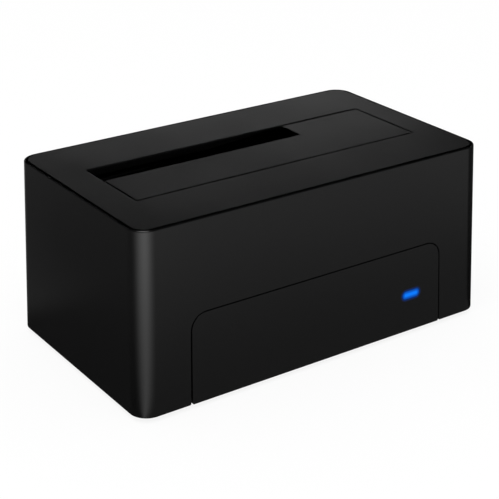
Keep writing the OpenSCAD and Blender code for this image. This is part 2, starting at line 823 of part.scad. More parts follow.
// Main board between the end walls of the well
module main_board() {
    color(board_green) difference() {
        block(board_x0, board_x1, board_y0, board_y1, board_z, board_top);
        for (p = board_hole_places()) rod(p[0], p[1], board_z - over, board_hole_r, board_t + 2 * over);
    }
}

// Board screws, driven from above
module board_screws() {
    color(steel) for (p = board_hole_places())
        translate([p[0], p[1], board_top]) rotate([180, 0, 0])
            screw(board_screw_r, board_screw_len, board_head_r, board_head_h);
}

// Upright drive connector with a signal slot and a power slot, each with its L-shaped key
module sata_connector() {
    color(chip_black) difference() {
        union() {
            pad(sata_x, sata_y, sata_w, sata_d, board_top, sata_top);
            pad(sata_x, sata_y, sata_foot_w, sata_foot_d, board_top, board_top + sata_foot_h);
        }
        connector_slot(sata_start, signal_len);
        connector_slot(sata_start + signal_len + slot_apart, power_len);
    }
}

// One keyed slot of the connector
module connector_slot(x, len) {
    block(x, x + len, sata_y - slot_wide / 2, sata_y + slot_wide / 2, sata_top - slot_deep, sata_top + over);
    block(x, x + key_wide, sata_y - slot_wide / 2 - key_long, sata_y, sata_top - slot_deep, sata_top + over);
}

// Contacts on the back wall of both slots
module sata_contacts() {
    color(gold) for (run = [[sata_start, signal_len, signal_pins],
            [sata_start + signal_len + slot_apart, power_len, power_pins]], i = [0:run[2] - 1]) {
        x = run[0] + run[1] / 2 + (i - (run[2] - 1) / 2) * contact_pitch;
        bar(x, contact_w, sata_y + slot_wide / 2 - contact_t, sata_y + slot_wide / 2,
            sata_top - slot_deep, sata_top - slot_deep + contact_h);
    }
}

// Outline of the data socket's hollow: a wide lower part with cut corners and a narrower upper part
function usb_outline(grow) =
    let (w = usb_low_w / 2 + grow, u = usb_up_w / 2 + grow, z0 = usb_low_z - grow,
        z1 = usb_low_z + usb_low_h + grow, z2 = usb_low_z + usb_low_h + usb_up_h + grow)
    [[-w, z0], [w, z0], [w, z1 - usb_cut], [w - usb_cut / 2, z1], [u, z1], [u, z2], [-u, z2], [-u, z1],
        [usb_cut / 2 - w, z1], [-w, z1 - usb_cut]];

// Metal case of the data socket
module usb_shell() {
    color(steel) translate([usb_x, 0, board_top]) difference() {
        bar(0, usb_w, port_y - usb_deep, port_y, 0, usb_h);
        bar(0, usb_w - 2 * usb_t, port_y - usb_deep - over, port_y - usb_t, usb_t, usb_h - usb_t);
        prism_y(usb_outline(0), port_y - usb_deep, port_y + over);
    }
}

// Plastic core of the data socket, hollow at the front, with its two tongues
module usb_insulator() {
    color([0.08, 0.25, 0.72]) translate([usb_x, 0, board_top]) {
        difference() {
            bar(0, usb_w - 2 * usb_t, port_y - usb_deep + over, port_y - usb_t, usb_t, usb_h - usb_t);
            prism_y(usb_outline(0), port_y - usb_hollow, port_y + over);
        }
        for (t = [[tongue_z, tongue_h], [top_tongue_z, top_tongue_h]])
            bar(0, tongue_w, port_y - usb_hollow - over, port_y - usb_hollow + tongue_len, t[0], t[0] + t[1]);
    }
}

// Power socket: block on the board with a round nose and the plug's bore
module dc_jack_body() {
    color(chip_black) translate([jack_x, 0, board_top]) difference() {
        union() {
            bar(0, jack_w, port_y - jack_deep, port_y - jack_nose, 0, jack_h);
            translate([0, port_y - jack_nose - over, jack_axis_z]) rotate([-90, 0, 0])
                cylinder(r = jack_nose_r, h = jack_nose + over, $fn = round_fn);
        }
        translate([0, port_y - jack_bore_deep, jack_axis_z]) rotate([-90, 0, 0])
            cylinder(r = jack_bore_r, h = jack_bore_deep + over, $fn = round_fn);
    }
}

// Centre pin of the power socket
module dc_jack_pin() {
    color(steel) translate([jack_x, port_y - jack_bore_deep, board_top + jack_axis_z]) rotate([-90, 0, 0]) {
        cylinder(r = jack_pin_r, h = jack_pin_len - jack_pin_r, $fn = small_fn);
        translate([0, 0, jack_pin_len - jack_pin_r])
            cylinder(r1 = jack_pin_r, r2 = jack_pin_r / 2, h = jack_pin_r, $fn = small_fn);
    }
}

// Switch housing with its bezel, the rocker's room and the two bearing holes
module switch_body() {
    color(chip_black) difference() {
        bar(switch_x, switch_w, port_y - switch_deep, port_y, board_top, board_top + switch_h);
        bar(switch_x, 2 * rocker_window, port_y - rocker_room, port_y + over,
            switch_z - rocker_h / 2 - 2 * ease, switch_z + rocker_h / 2 + 2 * ease);
        rod(switch_x, rocker_y, switch_z - rocker_h / 2 - trunnion_len - 2 * ease, trunnion_r + trunnion_ease,
            rocker_h + 2 * trunnion_len + 4 * ease);
    }
}

// Rocker at on: its left half lies flat and its right half stands out. Bars mark the two halves
module power_rocker() {
    rise = rocker_half * tan(rocker_tilt);
    color(chip_black) translate([switch_x, rocker_y, switch_z]) {
        rotate([0, 0, rocker_tilt]) difference() {
            translate([0, 0, -rocker_h / 2]) linear_extrude(rocker_h) polygon([[0, rocker_axis_in],
                [-rocker_half, rocker_axis_in + rise], [-rocker_half, 0], [-rocker_half / 2, -rocker_back],
                [rocker_half / 2, -rocker_back], [rocker_half, 0], [rocker_half, rocker_axis_in + rise]]);
            rotate([0, 0, -rocker_tilt]) block(-rocker_half * (mark_x_share + mark_w_share / 2),
                -rocker_half * (mark_x_share - mark_w_share / 2), rocker_axis_in - mark_deep,
                rocker_axis_in + rise, -rocker_h * mark_h_share, rocker_h * mark_h_share);
        }
        translate([0, 0, -rocker_h / 2 - trunnion_len])
            cylinder(r = trunnion_r, h = rocker_h + 2 * trunnion_len, $fn = small_fn);
    }
}

// Terminals of the switch in the board
module switch_terminals() {
    color(steel) for (x = [switch_x - terminal_apart, switch_x, switch_x + terminal_apart])
        bar(x, terminal_w, port_y - switch_deep - terminal_t, port_y - switch_deep, board_top,
            board_top + switch_h / 2);
}

// Clear light pipe: a bar from the lit window that drops to the lamp
module light_pipe() {
    z = base_z + led_z;
    face_y = -half_d(z) + ease;
    back_y = lamp_y + pipe_drop_d / 2;
    color([0.3, 0.6, 1]) translate([led_x, 0, 0]) {
        translate([0, 0, z]) prism_y(pill(led_w, led_h), face_y, back_y);
        bar(0, pipe_drop_w, lamp_y - pipe_drop_d / 2, back_y, board_top + lamp_h + lamp_lens_h + lamp_gap, z);
    }
}

// The lamp under the light pipe
module led_chip() {
    color([0.92, 0.9, 0.8]) {
        pad(led_x, lamp_y, lamp_w, lamp_d, board_top, board_top + lamp_h);
        rod(led_x, lamp_y, board_top + lamp_h, lamp_lens_r, lamp_lens_h);
    }
}

// The bridge controller in front of the drive connector
module bridge_chip() {
    y = board_y0 + chip_y_share * (board_y1 - board_y0);
    color(chip_black) bar(sata_x, chip_w, y - chip_w, y, board_top, board_top + chip_h);
}

// Memory chip with four leads on each side
module flash_chip() {
    x = sata_x + 2 * chip_w;
    y = board_y0 + chip_y_share * (board_y1 - board_y0) - chip_w / 2;
    color(chip_black) {
        pad(x, y, flash_w, flash_d, board_top + lead_t, board_top + flash_h);
        for (i = [0:lead_count - 1])
            pad(x + (i - (lead_count - 1) / 2) * lead_pitch, y, lead_w, flash_d + 2 * lead_len, board_top,
                board_top + 2 * lead_t);
    }
}

// Crystal in its metal can
module crystal_can() {
    x = sata_x - can_place_share * chip_w;
    y = board_y0 + chip_y_share * (board_y1 - board_y0) - chip_w / 2;
    color(steel) translate([x, y, board_top]) {
        linear_extrude(can_base_h) polygon(round_rect(can_w / 2, can_d / 2, can_d / 3));
        linear_extrude(can_h)
            polygon(round_rect(can_w / 2 - can_base_h, can_d / 2 - can_base_h, can_d / 3 - can_base_h / 2));
    }
}

// Two power inductors with round cores
module inductors() {
    y = board_y0 + coil_box;
    color([0.25, 0.25, 0.27]) for (x = [jack_x + coil_box, jack_x - coil_box]) {
        difference() {
            translate([x, y, board_top]) linear_extrude(coil_box_h)
                polygon(round_rect(coil_box / 2, coil_box / 2, coil_box / 7));
            rod(x, y, board_top + coil_box_h - cap_edge, coil_core_r + cap_edge, over + cap_edge);
        }
        rod(x, y, board_top + coil_box_h - cap_edge, coil_core_r, cap_edge - cap_groove / 2);
    }
}

// Electrolytic capacitors: a can with a groove on a square base
module capacitors() {
    y = board_y0 + cap_base / 2 + over;
    waist_z = cap_h * cap_waist_share;
    waist_h = cap_h * cap_waist_h_share;
    color([0.6, 0.61, 0.63]) for (x = [sata_x, sata_x + cap_pitch_share * cap_base])
        translate([x, y, board_top]) {
            linear_extrude(cap_base_h) polygon(round_rect(cap_base / 2, cap_base / 2, cap_edge));
            rotate_extrude($fn = round_fn) polygon([[0, cap_base_h / 2], [cap_r, cap_base_h / 2],
                [cap_r, waist_z - waist_h], [cap_r - cap_groove, waist_z], [cap_r, waist_z + waist_h],
                [cap_r, cap_h - cap_edge], [cap_r - cap_edge, cap_h], [0, cap_h]]);
        }
}

// A row of small resistors and ceramic capacitors
module small_passives() {
    y = board_y0 + chip_y_share * (board_y1 - board_y0) + passive_d * 2;
    color([0.75, 0.7, 0.6]) for (i = [0:passive_count - 1])
        let (x = sata_x + (i - (passive_count - 1) / 2) * passive_pitch)
        pad(x, y, passive_w, passive_d, board_top, board_top + passive_h);
}

outer_shell();
top_cover();
flap_door();
hinge_pin();
spring_coils();
spring_arms();
drive_well();
front_panel();
rear_panel();
bottom_tray();
rubber_feet();
case_screws();
well_screws();
cover_screws();
main_board();
board_screws();
sata_connector();
sata_contacts();
usb_shell();
usb_insulator();
dc_jack_body();
dc_jack_pin();
switch_body();
power_rocker();
switch_terminals();
light_pipe();
led_chip();
bridge_chip();
flash_chip();
crystal_can();
inductors();
capacitors();
small_passives();
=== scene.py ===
"""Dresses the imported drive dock: smooth moulded surfaces, procedural finishes, a plain studio, the camera.

Every size is in metres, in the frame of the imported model.
"""

import json
import math

import bpy
import numpy as np
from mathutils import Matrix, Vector


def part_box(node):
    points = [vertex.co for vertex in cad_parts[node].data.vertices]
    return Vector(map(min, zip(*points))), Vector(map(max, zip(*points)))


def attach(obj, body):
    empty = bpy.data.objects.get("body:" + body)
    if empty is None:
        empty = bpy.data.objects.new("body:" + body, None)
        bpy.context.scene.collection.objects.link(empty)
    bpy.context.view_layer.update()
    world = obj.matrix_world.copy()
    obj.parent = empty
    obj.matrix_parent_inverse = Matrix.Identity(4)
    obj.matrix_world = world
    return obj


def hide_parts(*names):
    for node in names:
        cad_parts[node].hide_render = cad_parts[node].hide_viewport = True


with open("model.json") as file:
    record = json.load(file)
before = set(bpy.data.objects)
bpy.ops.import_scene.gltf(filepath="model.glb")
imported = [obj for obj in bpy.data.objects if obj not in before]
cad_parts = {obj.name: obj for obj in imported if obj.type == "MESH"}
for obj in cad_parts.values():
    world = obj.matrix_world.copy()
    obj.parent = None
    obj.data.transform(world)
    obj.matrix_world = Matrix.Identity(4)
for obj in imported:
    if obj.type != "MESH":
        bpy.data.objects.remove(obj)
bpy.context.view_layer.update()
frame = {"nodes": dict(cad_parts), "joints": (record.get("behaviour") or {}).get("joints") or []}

bl_info = {
    "name": "Drive dock dresser",
    "version": (1, 0, 0),
    "blender": (4, 5, 0),
    "location": "View3D > Sidebar > Dock",
    "description": "Builds the smooth surfaces, finishes and studio of a drive docking station",
    "category": "Object",
}

MM = 0.001
shell_low, shell_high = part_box("outer_shell")
hinge = next(j for j in frame["joints"] if j["name"] == "flap_hinge")


def length(name, description, millimetres):
    """A length property that is typed in millimetres and kept in metres."""
    return bpy.props.FloatProperty(
        name=name, description=description, default=millimetres * MM, subtype="DISTANCE", unit="LENGTH",
        precision=5
    )


def colour(name, description, value):
    """A colour property in linear light."""
    return bpy.props.FloatVectorProperty(
        name=name, description=description, default=value, subtype="COLOR", size=3, min=0.0, max=1.0
    )


def share(name, description, value):
    """A number between nothing and one."""
    return bpy.props.FloatProperty(
        name=name, description=description, default=value, subtype="FACTOR", min=0.0, max=1.0
    )


def level(name, description, value):
    """A brightness or another plain number from nothing up."""
    return bpy.props.FloatProperty(name=name, description=description, default=value, min=0.0)


def angle(name, description, degrees):
    """An angle property that is typed in degrees."""
    return bpy.props.FloatProperty(
        name=name, description=description, default=math.radians(degrees), subtype="ANGLE", unit="ROTATION"
    )


class DockSizes(bpy.types.PropertyGroup):
    """Sizes of the moulded pieces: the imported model's, with seams and small edges shaped more finely."""

    top_width: length("Top width", "Width of the housing round its top", 130)
    top_depth: length("Top depth", "Depth of the housing round its top", 75)
    base_width: length("Base width", "Width of the housing at its lower edge",
                       (shell_high.x - shell_low.x) / MM)
    base_depth: length("Base depth", "Depth of the housing at its lower edge", 78.8)
    corner: length("Corner radius", "Radius of the four upright corners", 6)
    wall: length("Wall", "Thickness of the housing's wall", 2.2)
    rim: length("Rim rounding", "Rounding of the lip round the lid plate", 0.5)
    lip: length("Lip", "Thickness of the lip round the lid plate", 0.32)
    lid_gap: length("Lid gap", "Shadow gap between the lip and the lid plate", 0.98)
    lid_thickness: length("Lid thickness", "Thickness of the lid plate", 2.4)
    edge: length("Soft edge", "Rounding of the housing's lower edges", 0.25)
    lead: length("Lead", "Rounding of the bay's rear edge, which leads a drive in", 0.5)
    fine_edge: length("Fine edge", "Rounding of the edges along the seams", 0.04)
    window_half: length("Panel half width", "Half the width of the front panel's window", 48.5)
    window_height: length("Panel height", "Height of the front panel's window above the lower edge", 29.5)
    window_corner: length("Panel corner", "Corner radius of the panel windows", 5.6)
    window_lean: angle("Panel lean", "Outward lean of the windows' sides", 1.9)
    window_toe: length("Panel toe", "Rounding where a window's side meets the lower edge", 0.5)
    panel_seam: length("Panel seam", "Seam at the sides of a panel", 0.45)
    panel_top_seam: length("Panel top seam", "Seam over a panel", 0.25)
    rear_half: length("Rear half width", "Half the width of the rear panel's window", 46)
    rear_height: length("Rear height", "Height of the rear window above the lower edge", 25)
    panel_flange: length("Panel flange", "Reach of the front panel's flange behind the wall", 1.2)
    lamp_width: length("Lamp width", "Width of the lit window", 7.4)
    lamp_height: length("Lamp height", "Height of the lit window", 3.2)
    lamp_x: length("Lamp place", "Place of the lit window to the right of the middle", 36.45)
    lamp_z: length("Lamp rise", "Height of the lit window above the lower edge", 13.15)
    bay_width: length("Bay width", "Length of the opening in the lid", 106.5)
    bay_depth: length("Bay depth", "Opening in the lid from front to back", 31)
    bay_x: length("Bay shift", "Distance of the opening's middle from the middle, to the right", 0.5)
    bay_y: length("Bay shift back", "Distance of the opening's middle from the middle, to the back", -0.75)
    bay_corner: length("Bay corner", "Radius of the opening's corners", 0.35)
    bay_reach: length("Bay reach", "How much further right the opening and the flap's plate go", 0.85)
    flap_seam: length("Flap seam", "Seam round the flap", 0.35)
    flap_relief: length("Flap relief", "How far the flap's plate draws back from that seam", 0.4)
    flap_thickness: length("Flap thickness", "Thickness of the flap", 2)
    notch_width: length("Notch width", "Length of the notch for a small drive", 74.4)
    notch_depth: length("Notch depth", "Notch for a small drive from front to back", 10.85)
    barrel: length("Barrel radius", "Radius of the hinge barrel under the flap", 1.55)
    pin_hole: length("Pin hole", "Radius of the hinge barrel's bore", 0.8)


class DockFinishes(bpy.types.PropertyGroup):
    """Colours and gloss of the dock's materials."""

    plastic: colour("Plastic", "Colour of the housing's black plastic", (0.0018, 0.0018, 0.00185))
    plastic_roughness: share("Plastic roughness", "How matt the housing is", 0.25)
    # Partly painted shade: the inner mouldings' black is a little darker than the housing's, to darken the
    # inside of the bay
    inside: colour("Inside", "Colour of the unpolished plastic inside", (0.0015, 0.0015, 0.00155))
    rubber: colour("Rubber", "Colour of the feet", (0.03, 0.03, 0.031))
    steel: colour("Steel", "Colour of pins, springs and screws", (0.55, 0.56, 0.58))
    gold: colour("Gold", "Colour of the contacts", (0.83, 0.58, 0.22))
    board: colour("Board", "Colour of the solder mask", (0.01, 0.09, 0.04))
    lamp_strength: level("Lamp strength", "Brightness of the lit window", 1.0)
    # Painted light: strength of the blue glow that the panel's plastic emits round the lens
    painted_lamp_glow: share("Haze", "Level of the lamp's light on the plastic round the lens", 0.14)


class StudioSettings(bpy.types.PropertyGroup):
    """The camera's place, and the levels of the lamp and of what the plastic reflects."""

    azimuth: angle("Azimuth", "Direction from which the camera looks", -34.6)
    elevation: angle("Elevation", "Height of the camera above the horizon", 24.2)
    distance: length("Distance", "Distance of the camera from its target", 453.4)
    target: bpy.props.FloatVectorProperty(
        name="Target", description="Point that the camera looks at", default=(-0.00109, 0.0, 0.02583),
        subtype="XYZ", unit="LENGTH"
    )
    focal: bpy.props.FloatProperty(
        name="Focal length", description="Focal length of the camera in millimetres", default=98.4, min=1.0
    )
    floor_shade: share("Floor shadow", "How much of the dock's shadow the white floor shows", 0.12)
    daylight: share("Daylight", "Level of the even light from all round", 0.8)
    softbox: level("Softbox", "Power of the soft lamp in watts", 10.5)
    floor_front: level("Floor front", "Light of the floor in front, in the plastic's reflections", 0.474)
    floor_left: level("Floor left", "Light of the floor on the left", 0.123)
    floor_right: level("Floor right", "Light of the floor on the right", 0.05)
    floor_foot: share("Floor foot", "Share of it that is left close to the housing", 0.33)
    floor_ramp: length("Floor ramp", "Height on the walls at which the floor has its full level", 115)
    corner_level: level("Corner level", "Extra light in front of the left front corner", 1.8)
    corner_bearing: angle("Corner bearing", "Bearing of that light, from the back to the right", 214.6)
    corner_width: level("Corner width", "Power of the cosine that shapes it: larger is narrower", 4.05)
    corner_foot: share("Corner foot", "Share of it that is left close to the housing", 0.46)
    tent: level("Tent", "Light of the tent's upper part in reflections", 0.006)
    horizon: level("Horizon", "Light of the tent's lower band", 0.084)
    ring: level("Ring", "Extra light of the band away from the bright part", 0.2)
    back_glow: level("Back glow", "Extra light of the band's bright part, behind the dock", 1.46)
    glow_bearing: angle("Glow bearing", "Bearing of the bright part, from the back to the right", 33.0)
    glow_half: angle("Glow half width", "Half the width of that bright part", 14.6)
    band_low: angle("Band low", "Elevation at which the band starts to fade", 9.4)
    band_high: angle("Band high", "Elevation at which it has faded", 15.8)


# Steps of a small rounded edge, of a larger corner, and of a full turn
SMALL_STEPS = 4
CORNER_STEPS = 8
ROUND_STEPS = 48
# Cosine of the angle within which a normal counts as that of a flat face
FLAT_ENOUGH = math.cos(math.radians(4))
LEVEL_FACES = [(0, 0, 1), (0, 0, -1)]
# Points closer than this are one point, and rays closer than this one ray
SAME_POINT = 1e-7
SAME_RAY = 1e-5


# Outlines and surfaces


def rounded_chain(corners, radii, steps=SMALL_STEPS, closed=True):
    """Points and outward normals of a polyline whose corners are replaced by tangent arcs.

    At a corner that turns by an angle f, the arc starts r tan(f/2) before it, and its points are the arc's
    centre plus r times the normal as that turns from one side's to the next. The material lies to the left
    of the walking direction, so the outward normal is to its right. An open chain keeps no end points.
    """
    c = np.asarray(corners, float)
    r = np.broadcast_to(np.asarray(radii, float), len(c))
    ahead = np.roll(c, -1, 0) - c
    ahead /= np.linalg.norm(ahead, axis=1)[:, None]
    before = np.roll(ahead, 1, 0)
    turn = np.arctan2(before[:, 0] * ahead[:, 1] - before[:, 1] * ahead[:, 0], (before * ahead).sum(1))
    start = c - before * (r * np.tan(np.abs(turn) / 2))[:, None]
    side = np.sign(turn)
    centre = start + np.stack([-before[:, 1], before[:, 0]], 1) * (r * side)[:, None]
    along = np.arctan2(before[:, 1], before[:, 0])[:, None] + turn[:, None] * np.linspace(0, 1, steps + 1)
    normals = np.stack([np.sin(along), -np.cos(along)], -1)
    points = centre[:, None] + normals * (r * side)[:, None, None]
    if not closed:
        points, normals = points[1:-1], normals[1:-1]
    return points.reshape(-1, 2), normals.reshape(-1, 2)


def rounded_rectangle(x0, x1, y0, y1, radius, steps=SMALL_STEPS):
    """An anticlockwise rectangle with round corners, by the rule of rounded_chain."""
    return rounded_chain([(x0, y0), (x1, y0), (x1, y1), (x0, y1)], radius, steps)


def matched(first, second, centre):
    """Two closed outlines round one centre, given points on the same rays.

    The rays go through every point of both outlines. On each ray a point lies where the ray meets the
    outline's chord, and its normal is mixed along that chord in the same share.
    """
    centre = np.asarray(centre, float)

    def polar(outline):
        points = outline[0] - centre
        a = np.unwrap(np.arctan2(points[:, 1], points[:, 0]))
        first_ray = np.argmin(a % (2 * np.pi))
        order = np.roll(np.arange(len(a)), -first_ray)
        return a[order] % (2 * np.pi), points[order], outline[1][order]

    sides = [polar(first), polar(second)]
    rays = np.unique(np.round(np.concatenate([s[0] for s in sides]), 9))
    keep = np.diff(rays, append=rays[0] + 2 * np.pi) > SAME_RAY
    rays = rays[keep]
    d = np.stack([np.cos(rays), np.sin(rays)], 1)
    found = []
    for a, points, normals in sides:
        k = (np.searchsorted(a, rays, side="right") - 1) % len(a)
        p, q = points[k], points[(k + 1) % len(a)]
        e = q - p
        share_on = (p[:, 1] * d[:, 0] - p[:, 0] * d[:, 1]) / (e[:, 0] * d[:, 1] - e[:, 1] * d[:, 0])
        share_on = np.clip(share_on, 0, 1)[:, None]
        n = normals[k] * (1 - share_on) + normals[(k + 1) % len(a)] * share_on
        n /= np.linalg.norm(n, axis=1)[:, None]
        found.append((centre + p + e * share_on, n))
    return found


def rounded_section(corners, radii, steps=SMALL_STEPS):
    """The corners of a cross-section, rounded by rounded_chain, without the normals."""
    return rounded_chain(corners, radii, steps)[0]


def skin(rings, closed_rows=False):
    """A closed surface over rings of equally many points.

    Row j's point i joins row j's point i+1 and the same two points of row j+1. The first and the last ring
    close with a flat face, or join each other if closed_rows.
    """
    m, n = rings.shape[:2]
    j = np.arange(m if closed_rows else m - 1)[:, None]
    i = np.arange(n)[None]
    nxt, up = (i + 1) % n, (j + 1) % m
    quads = np.stack([j * n + i, j * n + nxt, up * n + nxt, up * n + i], -1).reshape(-1, 4)
    caps = [] if closed_rows else [np.arange(n)[::-1], (m - 1) * n + np.arange(n)]
    return rings.reshape(-1, 3), quads, caps


def plate_rings(outline, rows, place):
    """Rings of a plate: the outline moved along its normals by a row's offset, and placed at its depth."""
    points, normals = outline
    return np.stack([place(points + normals * off, depth) for off, depth in rows])


def soft_rows(low, high, edge):
    """Rows of a plate from low to high, whose two edges are quarter circles of radius edge."""
    a = np.linspace(0, np.pi / 2, SMALL_STEPS + 1)
    return np.concatenate([
        np.stack([-edge * (1 - np.sin(a)), low + edge * (1 - np.cos(a))], 1),
        np.stack([-edge * (1 - np.cos(a)), high - edge * (1 - np.sin(a))], 1),
    ])


def flat(points, z):
    """Places an outline level, at height z."""
    return np.column_stack([points, np.full(len(points), z)])


def soft_block(x0, x1, y0, y1, z0, z1, edge):
    """A block whose edges are all rounded: a plate over a rounded rectangle."""
    outline = rounded_rectangle(x0, x1, y0, y1, edge)
    return skin(plate_rings(outline, soft_rows(z0, z1, edge), flat))


def framed_plate(outer, inner, centre, edge, depth, place, lead=None):
    """A plate between two outlines, with rounded edges on both.

    Its cross-section is a rectangle with round corners. The half of it next to the outer outline is moved
    along that outline's normals, and the other half along the inner outline's. The inner outline's upper
    edge goes over from radius edge to radius lead as its normal turns to the second axis. The rectangle's
    own width drops out, and only has to keep its two halves apart.
    """
    (po, no), (pi, ni) = matched(outer, inner, centre)
    span = 100 * edge
    lead = lead or edge
    small, large = (rounded_section([(0, depth), (0, 0), (span, 0), (span, depth)], [edge, edge, r, edge])
                    for r in (edge, lead))
    weight = np.clip(ni[:, 1:], 0, 1)
    rings = []
    for (t, d), (t_lead, d_lead) in zip(small, large):
        if t < span / 2:
            rings.append(place(po - no * t, d))
        else:
            moved = (span - t) * (1 - weight) + (span - t_lead) * weight
            rings.append(place(pi + ni * moved, (d * (1 - weight) + d_lead * weight)[:, 0]))
    return skin(np.stack(rings), closed_rows=True)


def turned(section, middle):
    """A section (distance along Z, radius) turned round an upright axis through middle.

    At angle a, a point lies at its radius times (cos a, sin a) from the axis, at its distance along Z.
    """
    a = np.linspace(0, 2 * np.pi, ROUND_STEPS, endpoint=False)
    z, r = section[:, 0], section[:, 1]
    return np.stack([
        middle[0] + r[:, None] * np.cos(a), middle[1] + r[:, None] * np.sin(a),
        np.broadcast_to(middle[2] + z[:, None], (len(z), ROUND_STEPS)),
    ], -1)


def tube_x(x0, x1, y, z, outer, inner, edge):
    """A tube along X: its rounded wall section is turned round the axis at (y, z)."""
    section = rounded_section([(x0, outer), (x0, inner), (x1, inner), (x1, outer)], edge, 2)
    a = np.linspace(0, 2 * np.pi, ROUND_STEPS, endpoint=False)
    r = section[:, 1][:, None]
    rings = np.stack([
        np.broadcast_to(section[:, 0][:, None], (len(section), ROUND_STEPS)),
        y + r * np.cos(a), z + r * np.sin(a),
    ], -1)
    return skin(rings, closed_rows=True)


def vertex_normals(points, quads, caps, flats=()):
    """Normals that lean to the larger faces, so a flat face stays flat right up to its rounded edge.

    A point's normal is the sum of the cross products of its faces' diagonals, made one unit long. One
    within a few degrees of a direction in flats becomes that direction.
    """
    a, b, c, d = (points[quads[:, k]] for k in range(4))
    face = np.cross(c - a, d - b)
    total = np.zeros_like(points)
    for k in range(4):
        np.add.at(total, quads[:, k], face)
    for cap in caps:
        ring = points[cap]
        total[cap] += np.cross(ring, np.roll(ring, -1, 0)).sum(0)
    size = np.linalg.norm(total, axis=1)[:, None]
    total /= np.where(size > 0, size, 1)
    for way in flats:
        way = np.asarray(way, float) / np.linalg.norm(way)
        total[total @ way > FLAT_ENOUGH] = way
    return total


def make_piece(name, islands, finish, body, stands_for, flats=()):
    """One mesh object of closed surfaces, given its finish, its body and what it stands for."""
    at, points, corners, sizes, normals = 0, [], [], [], []
    for p, quads, caps in islands:
        points.append(p)
        normals.append(vertex_normals(p, quads, caps, flats))
        corners.append(quads.ravel() + at)
        sizes.append(np.full(len(quads), 4))
        for cap in caps:
            corners.append(cap + at)
            sizes.append(np.array([len(cap)]))
        at += len(p)
    points, corners, sizes = (np.concatenate(x) for x in (points, corners, sizes))
    mesh = bpy.data.meshes.new(name)
    mesh.vertices.add(len(points))
    mesh.vertices.foreach_set("co", points.astype(np.float32).ravel())
    mesh.loops.add(len(corners))
    mesh.loops.foreach_set("vertex_index", corners.astype(np.int32))
    mesh.polygons.add(len(sizes))
    mesh.polygons.foreach_set("loop_start", (np.cumsum(sizes) - sizes).astype(np.int32))
    mesh.update(calc_edges=True)
    if mesh.validate():
        raise RuntimeError(f"{name}: the surface has a broken face")
    mesh.shade_smooth()
    mesh.normals_split_custom_set_from_vertices(np.concatenate(normals).tolist())
    mesh.materials.append(finish)
    piece = bpy.data.objects.new(name, mesh)
    bpy.context.scene.collection.objects.link(piece)
    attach(piece, body)
    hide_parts(*stands_for)


# Finishes


def new_group(name, inputs, outputs):
    """An empty shader node group with named sockets."""
    group = bpy.data.node_groups.new(name, "ShaderNodeTree")
    for label, value in inputs:
        socket = group.interface.new_socket(name=label, in_out="INPUT", socket_type="NodeSocketFloat")
        socket.default_value = value
    for label in outputs:
        group.interface.new_socket(name=label, in_out="OUTPUT", socket_type="NodeSocketFloat")
    return group, group.nodes.new("NodeGroupInput"), group.nodes.new("NodeGroupOutput")


def maths(tree, operation, a, b=0.0, clamp=False):
    """A Math node fed by sockets or numbers."""
    node = tree.nodes.new("ShaderNodeMath")
    node.operation = operation
    node.use_clamp = clamp
    for socket, value in zip(node.inputs, (a, b)):
        if isinstance(value, (int, float)):
            socket.default_value = value
        else:
            tree.links.new(value, socket)
    return node.outputs[0]


def node_of(tree, kind):
    """The first node of a kind in a tree."""
    return next(n for n in tree.nodes if n.type == kind)


def new_material(name):
    """A new material, its tree and its Principled shader."""
    made = bpy.data.materials.new(name)
    made.use_nodes = True
    return made, made.node_tree, node_of(made.node_tree, "BSDF_PRINCIPLED")


def mixed(tree, factor, first, second):
    """A colour from first to second, as a socket's factor goes from nothing to one."""
    mix = tree.nodes.new("ShaderNodeMix")
    mix.data_type = "RGBA"
    mix.inputs["A"].default_value = (*first, 1)
    mix.inputs["B"].default_value = (*second, 1)
    tree.links.new(factor, mix.inputs["Factor"])
    return mix.outputs["Result"]


def ramp(tree, value, start, end, low, high):
    """A smooth step of a value: low up to start, high from end on."""
    node = tree.nodes.new("ShaderNodeMapRange")
    node.interpolation_type = "SMOOTHSTEP"
    for label, number in (("From Min", start), ("From Max", end), ("To Min", low), ("To Max", high)):
        node.inputs[label].default_value = number
    tree.links.new(value, node.inputs["Value"])
    return node.outputs["Result"]


def hypotenuse(tree, x, y):
    """The length of (x, y)."""
    squares = maths(tree, "ADD", maths(tree, "MULTIPLY", x, x), maths(tree, "MULTIPLY", y, y))
    return maths(tree, "SQRT", squares)


def noise(tree, scale, detail, rough):
    """Noise over the object's own coordinates, whose scale comes from a socket."""
    place = tree.nodes.new("ShaderNodeTexCoord")
    node = tree.nodes.new("ShaderNodeTexNoise")
    node.inputs["Detail"].default_value = detail
    node.inputs["Roughness"].default_value = rough
    tree.links.new(place.outputs["Object"], node.inputs["Vector"])
    tree.links.new(scale, node.inputs["Scale"])
    return node.outputs["Fac"]


def grain_group():
    """Spark-eroded grain of a moulding: fine pits for height, and broad patches for gloss and colour."""
    found = bpy.data.node_groups.get("moulded_grain")
    if found:
        return found
    group, given, made = new_group(
        "moulded_grain",
        [("Grain per metre", 5200.0), ("Patch per metre", 45.0), ("Patch amount", 0.1)],
        ["Height", "Gloss shift", "Tone"],
    )
    fine = noise(group, given.outputs["Grain per metre"], 1.0, 0.6)
    patch = noise(group, given.outputs["Patch per metre"], 3.0, 0.55)
    group.links.new(fine, made.inputs["Height"])
    centred = maths(group, "SUBTRACT", patch, 0.5)
    spread = maths(group, "MULTIPLY", centred, given.outputs["Patch amount"])
    group.links.new(spread, made.inputs["Gloss shift"])
    group.links.new(maths(group, "ADD", spread, 0.5), made.inputs["Tone"])
    return group


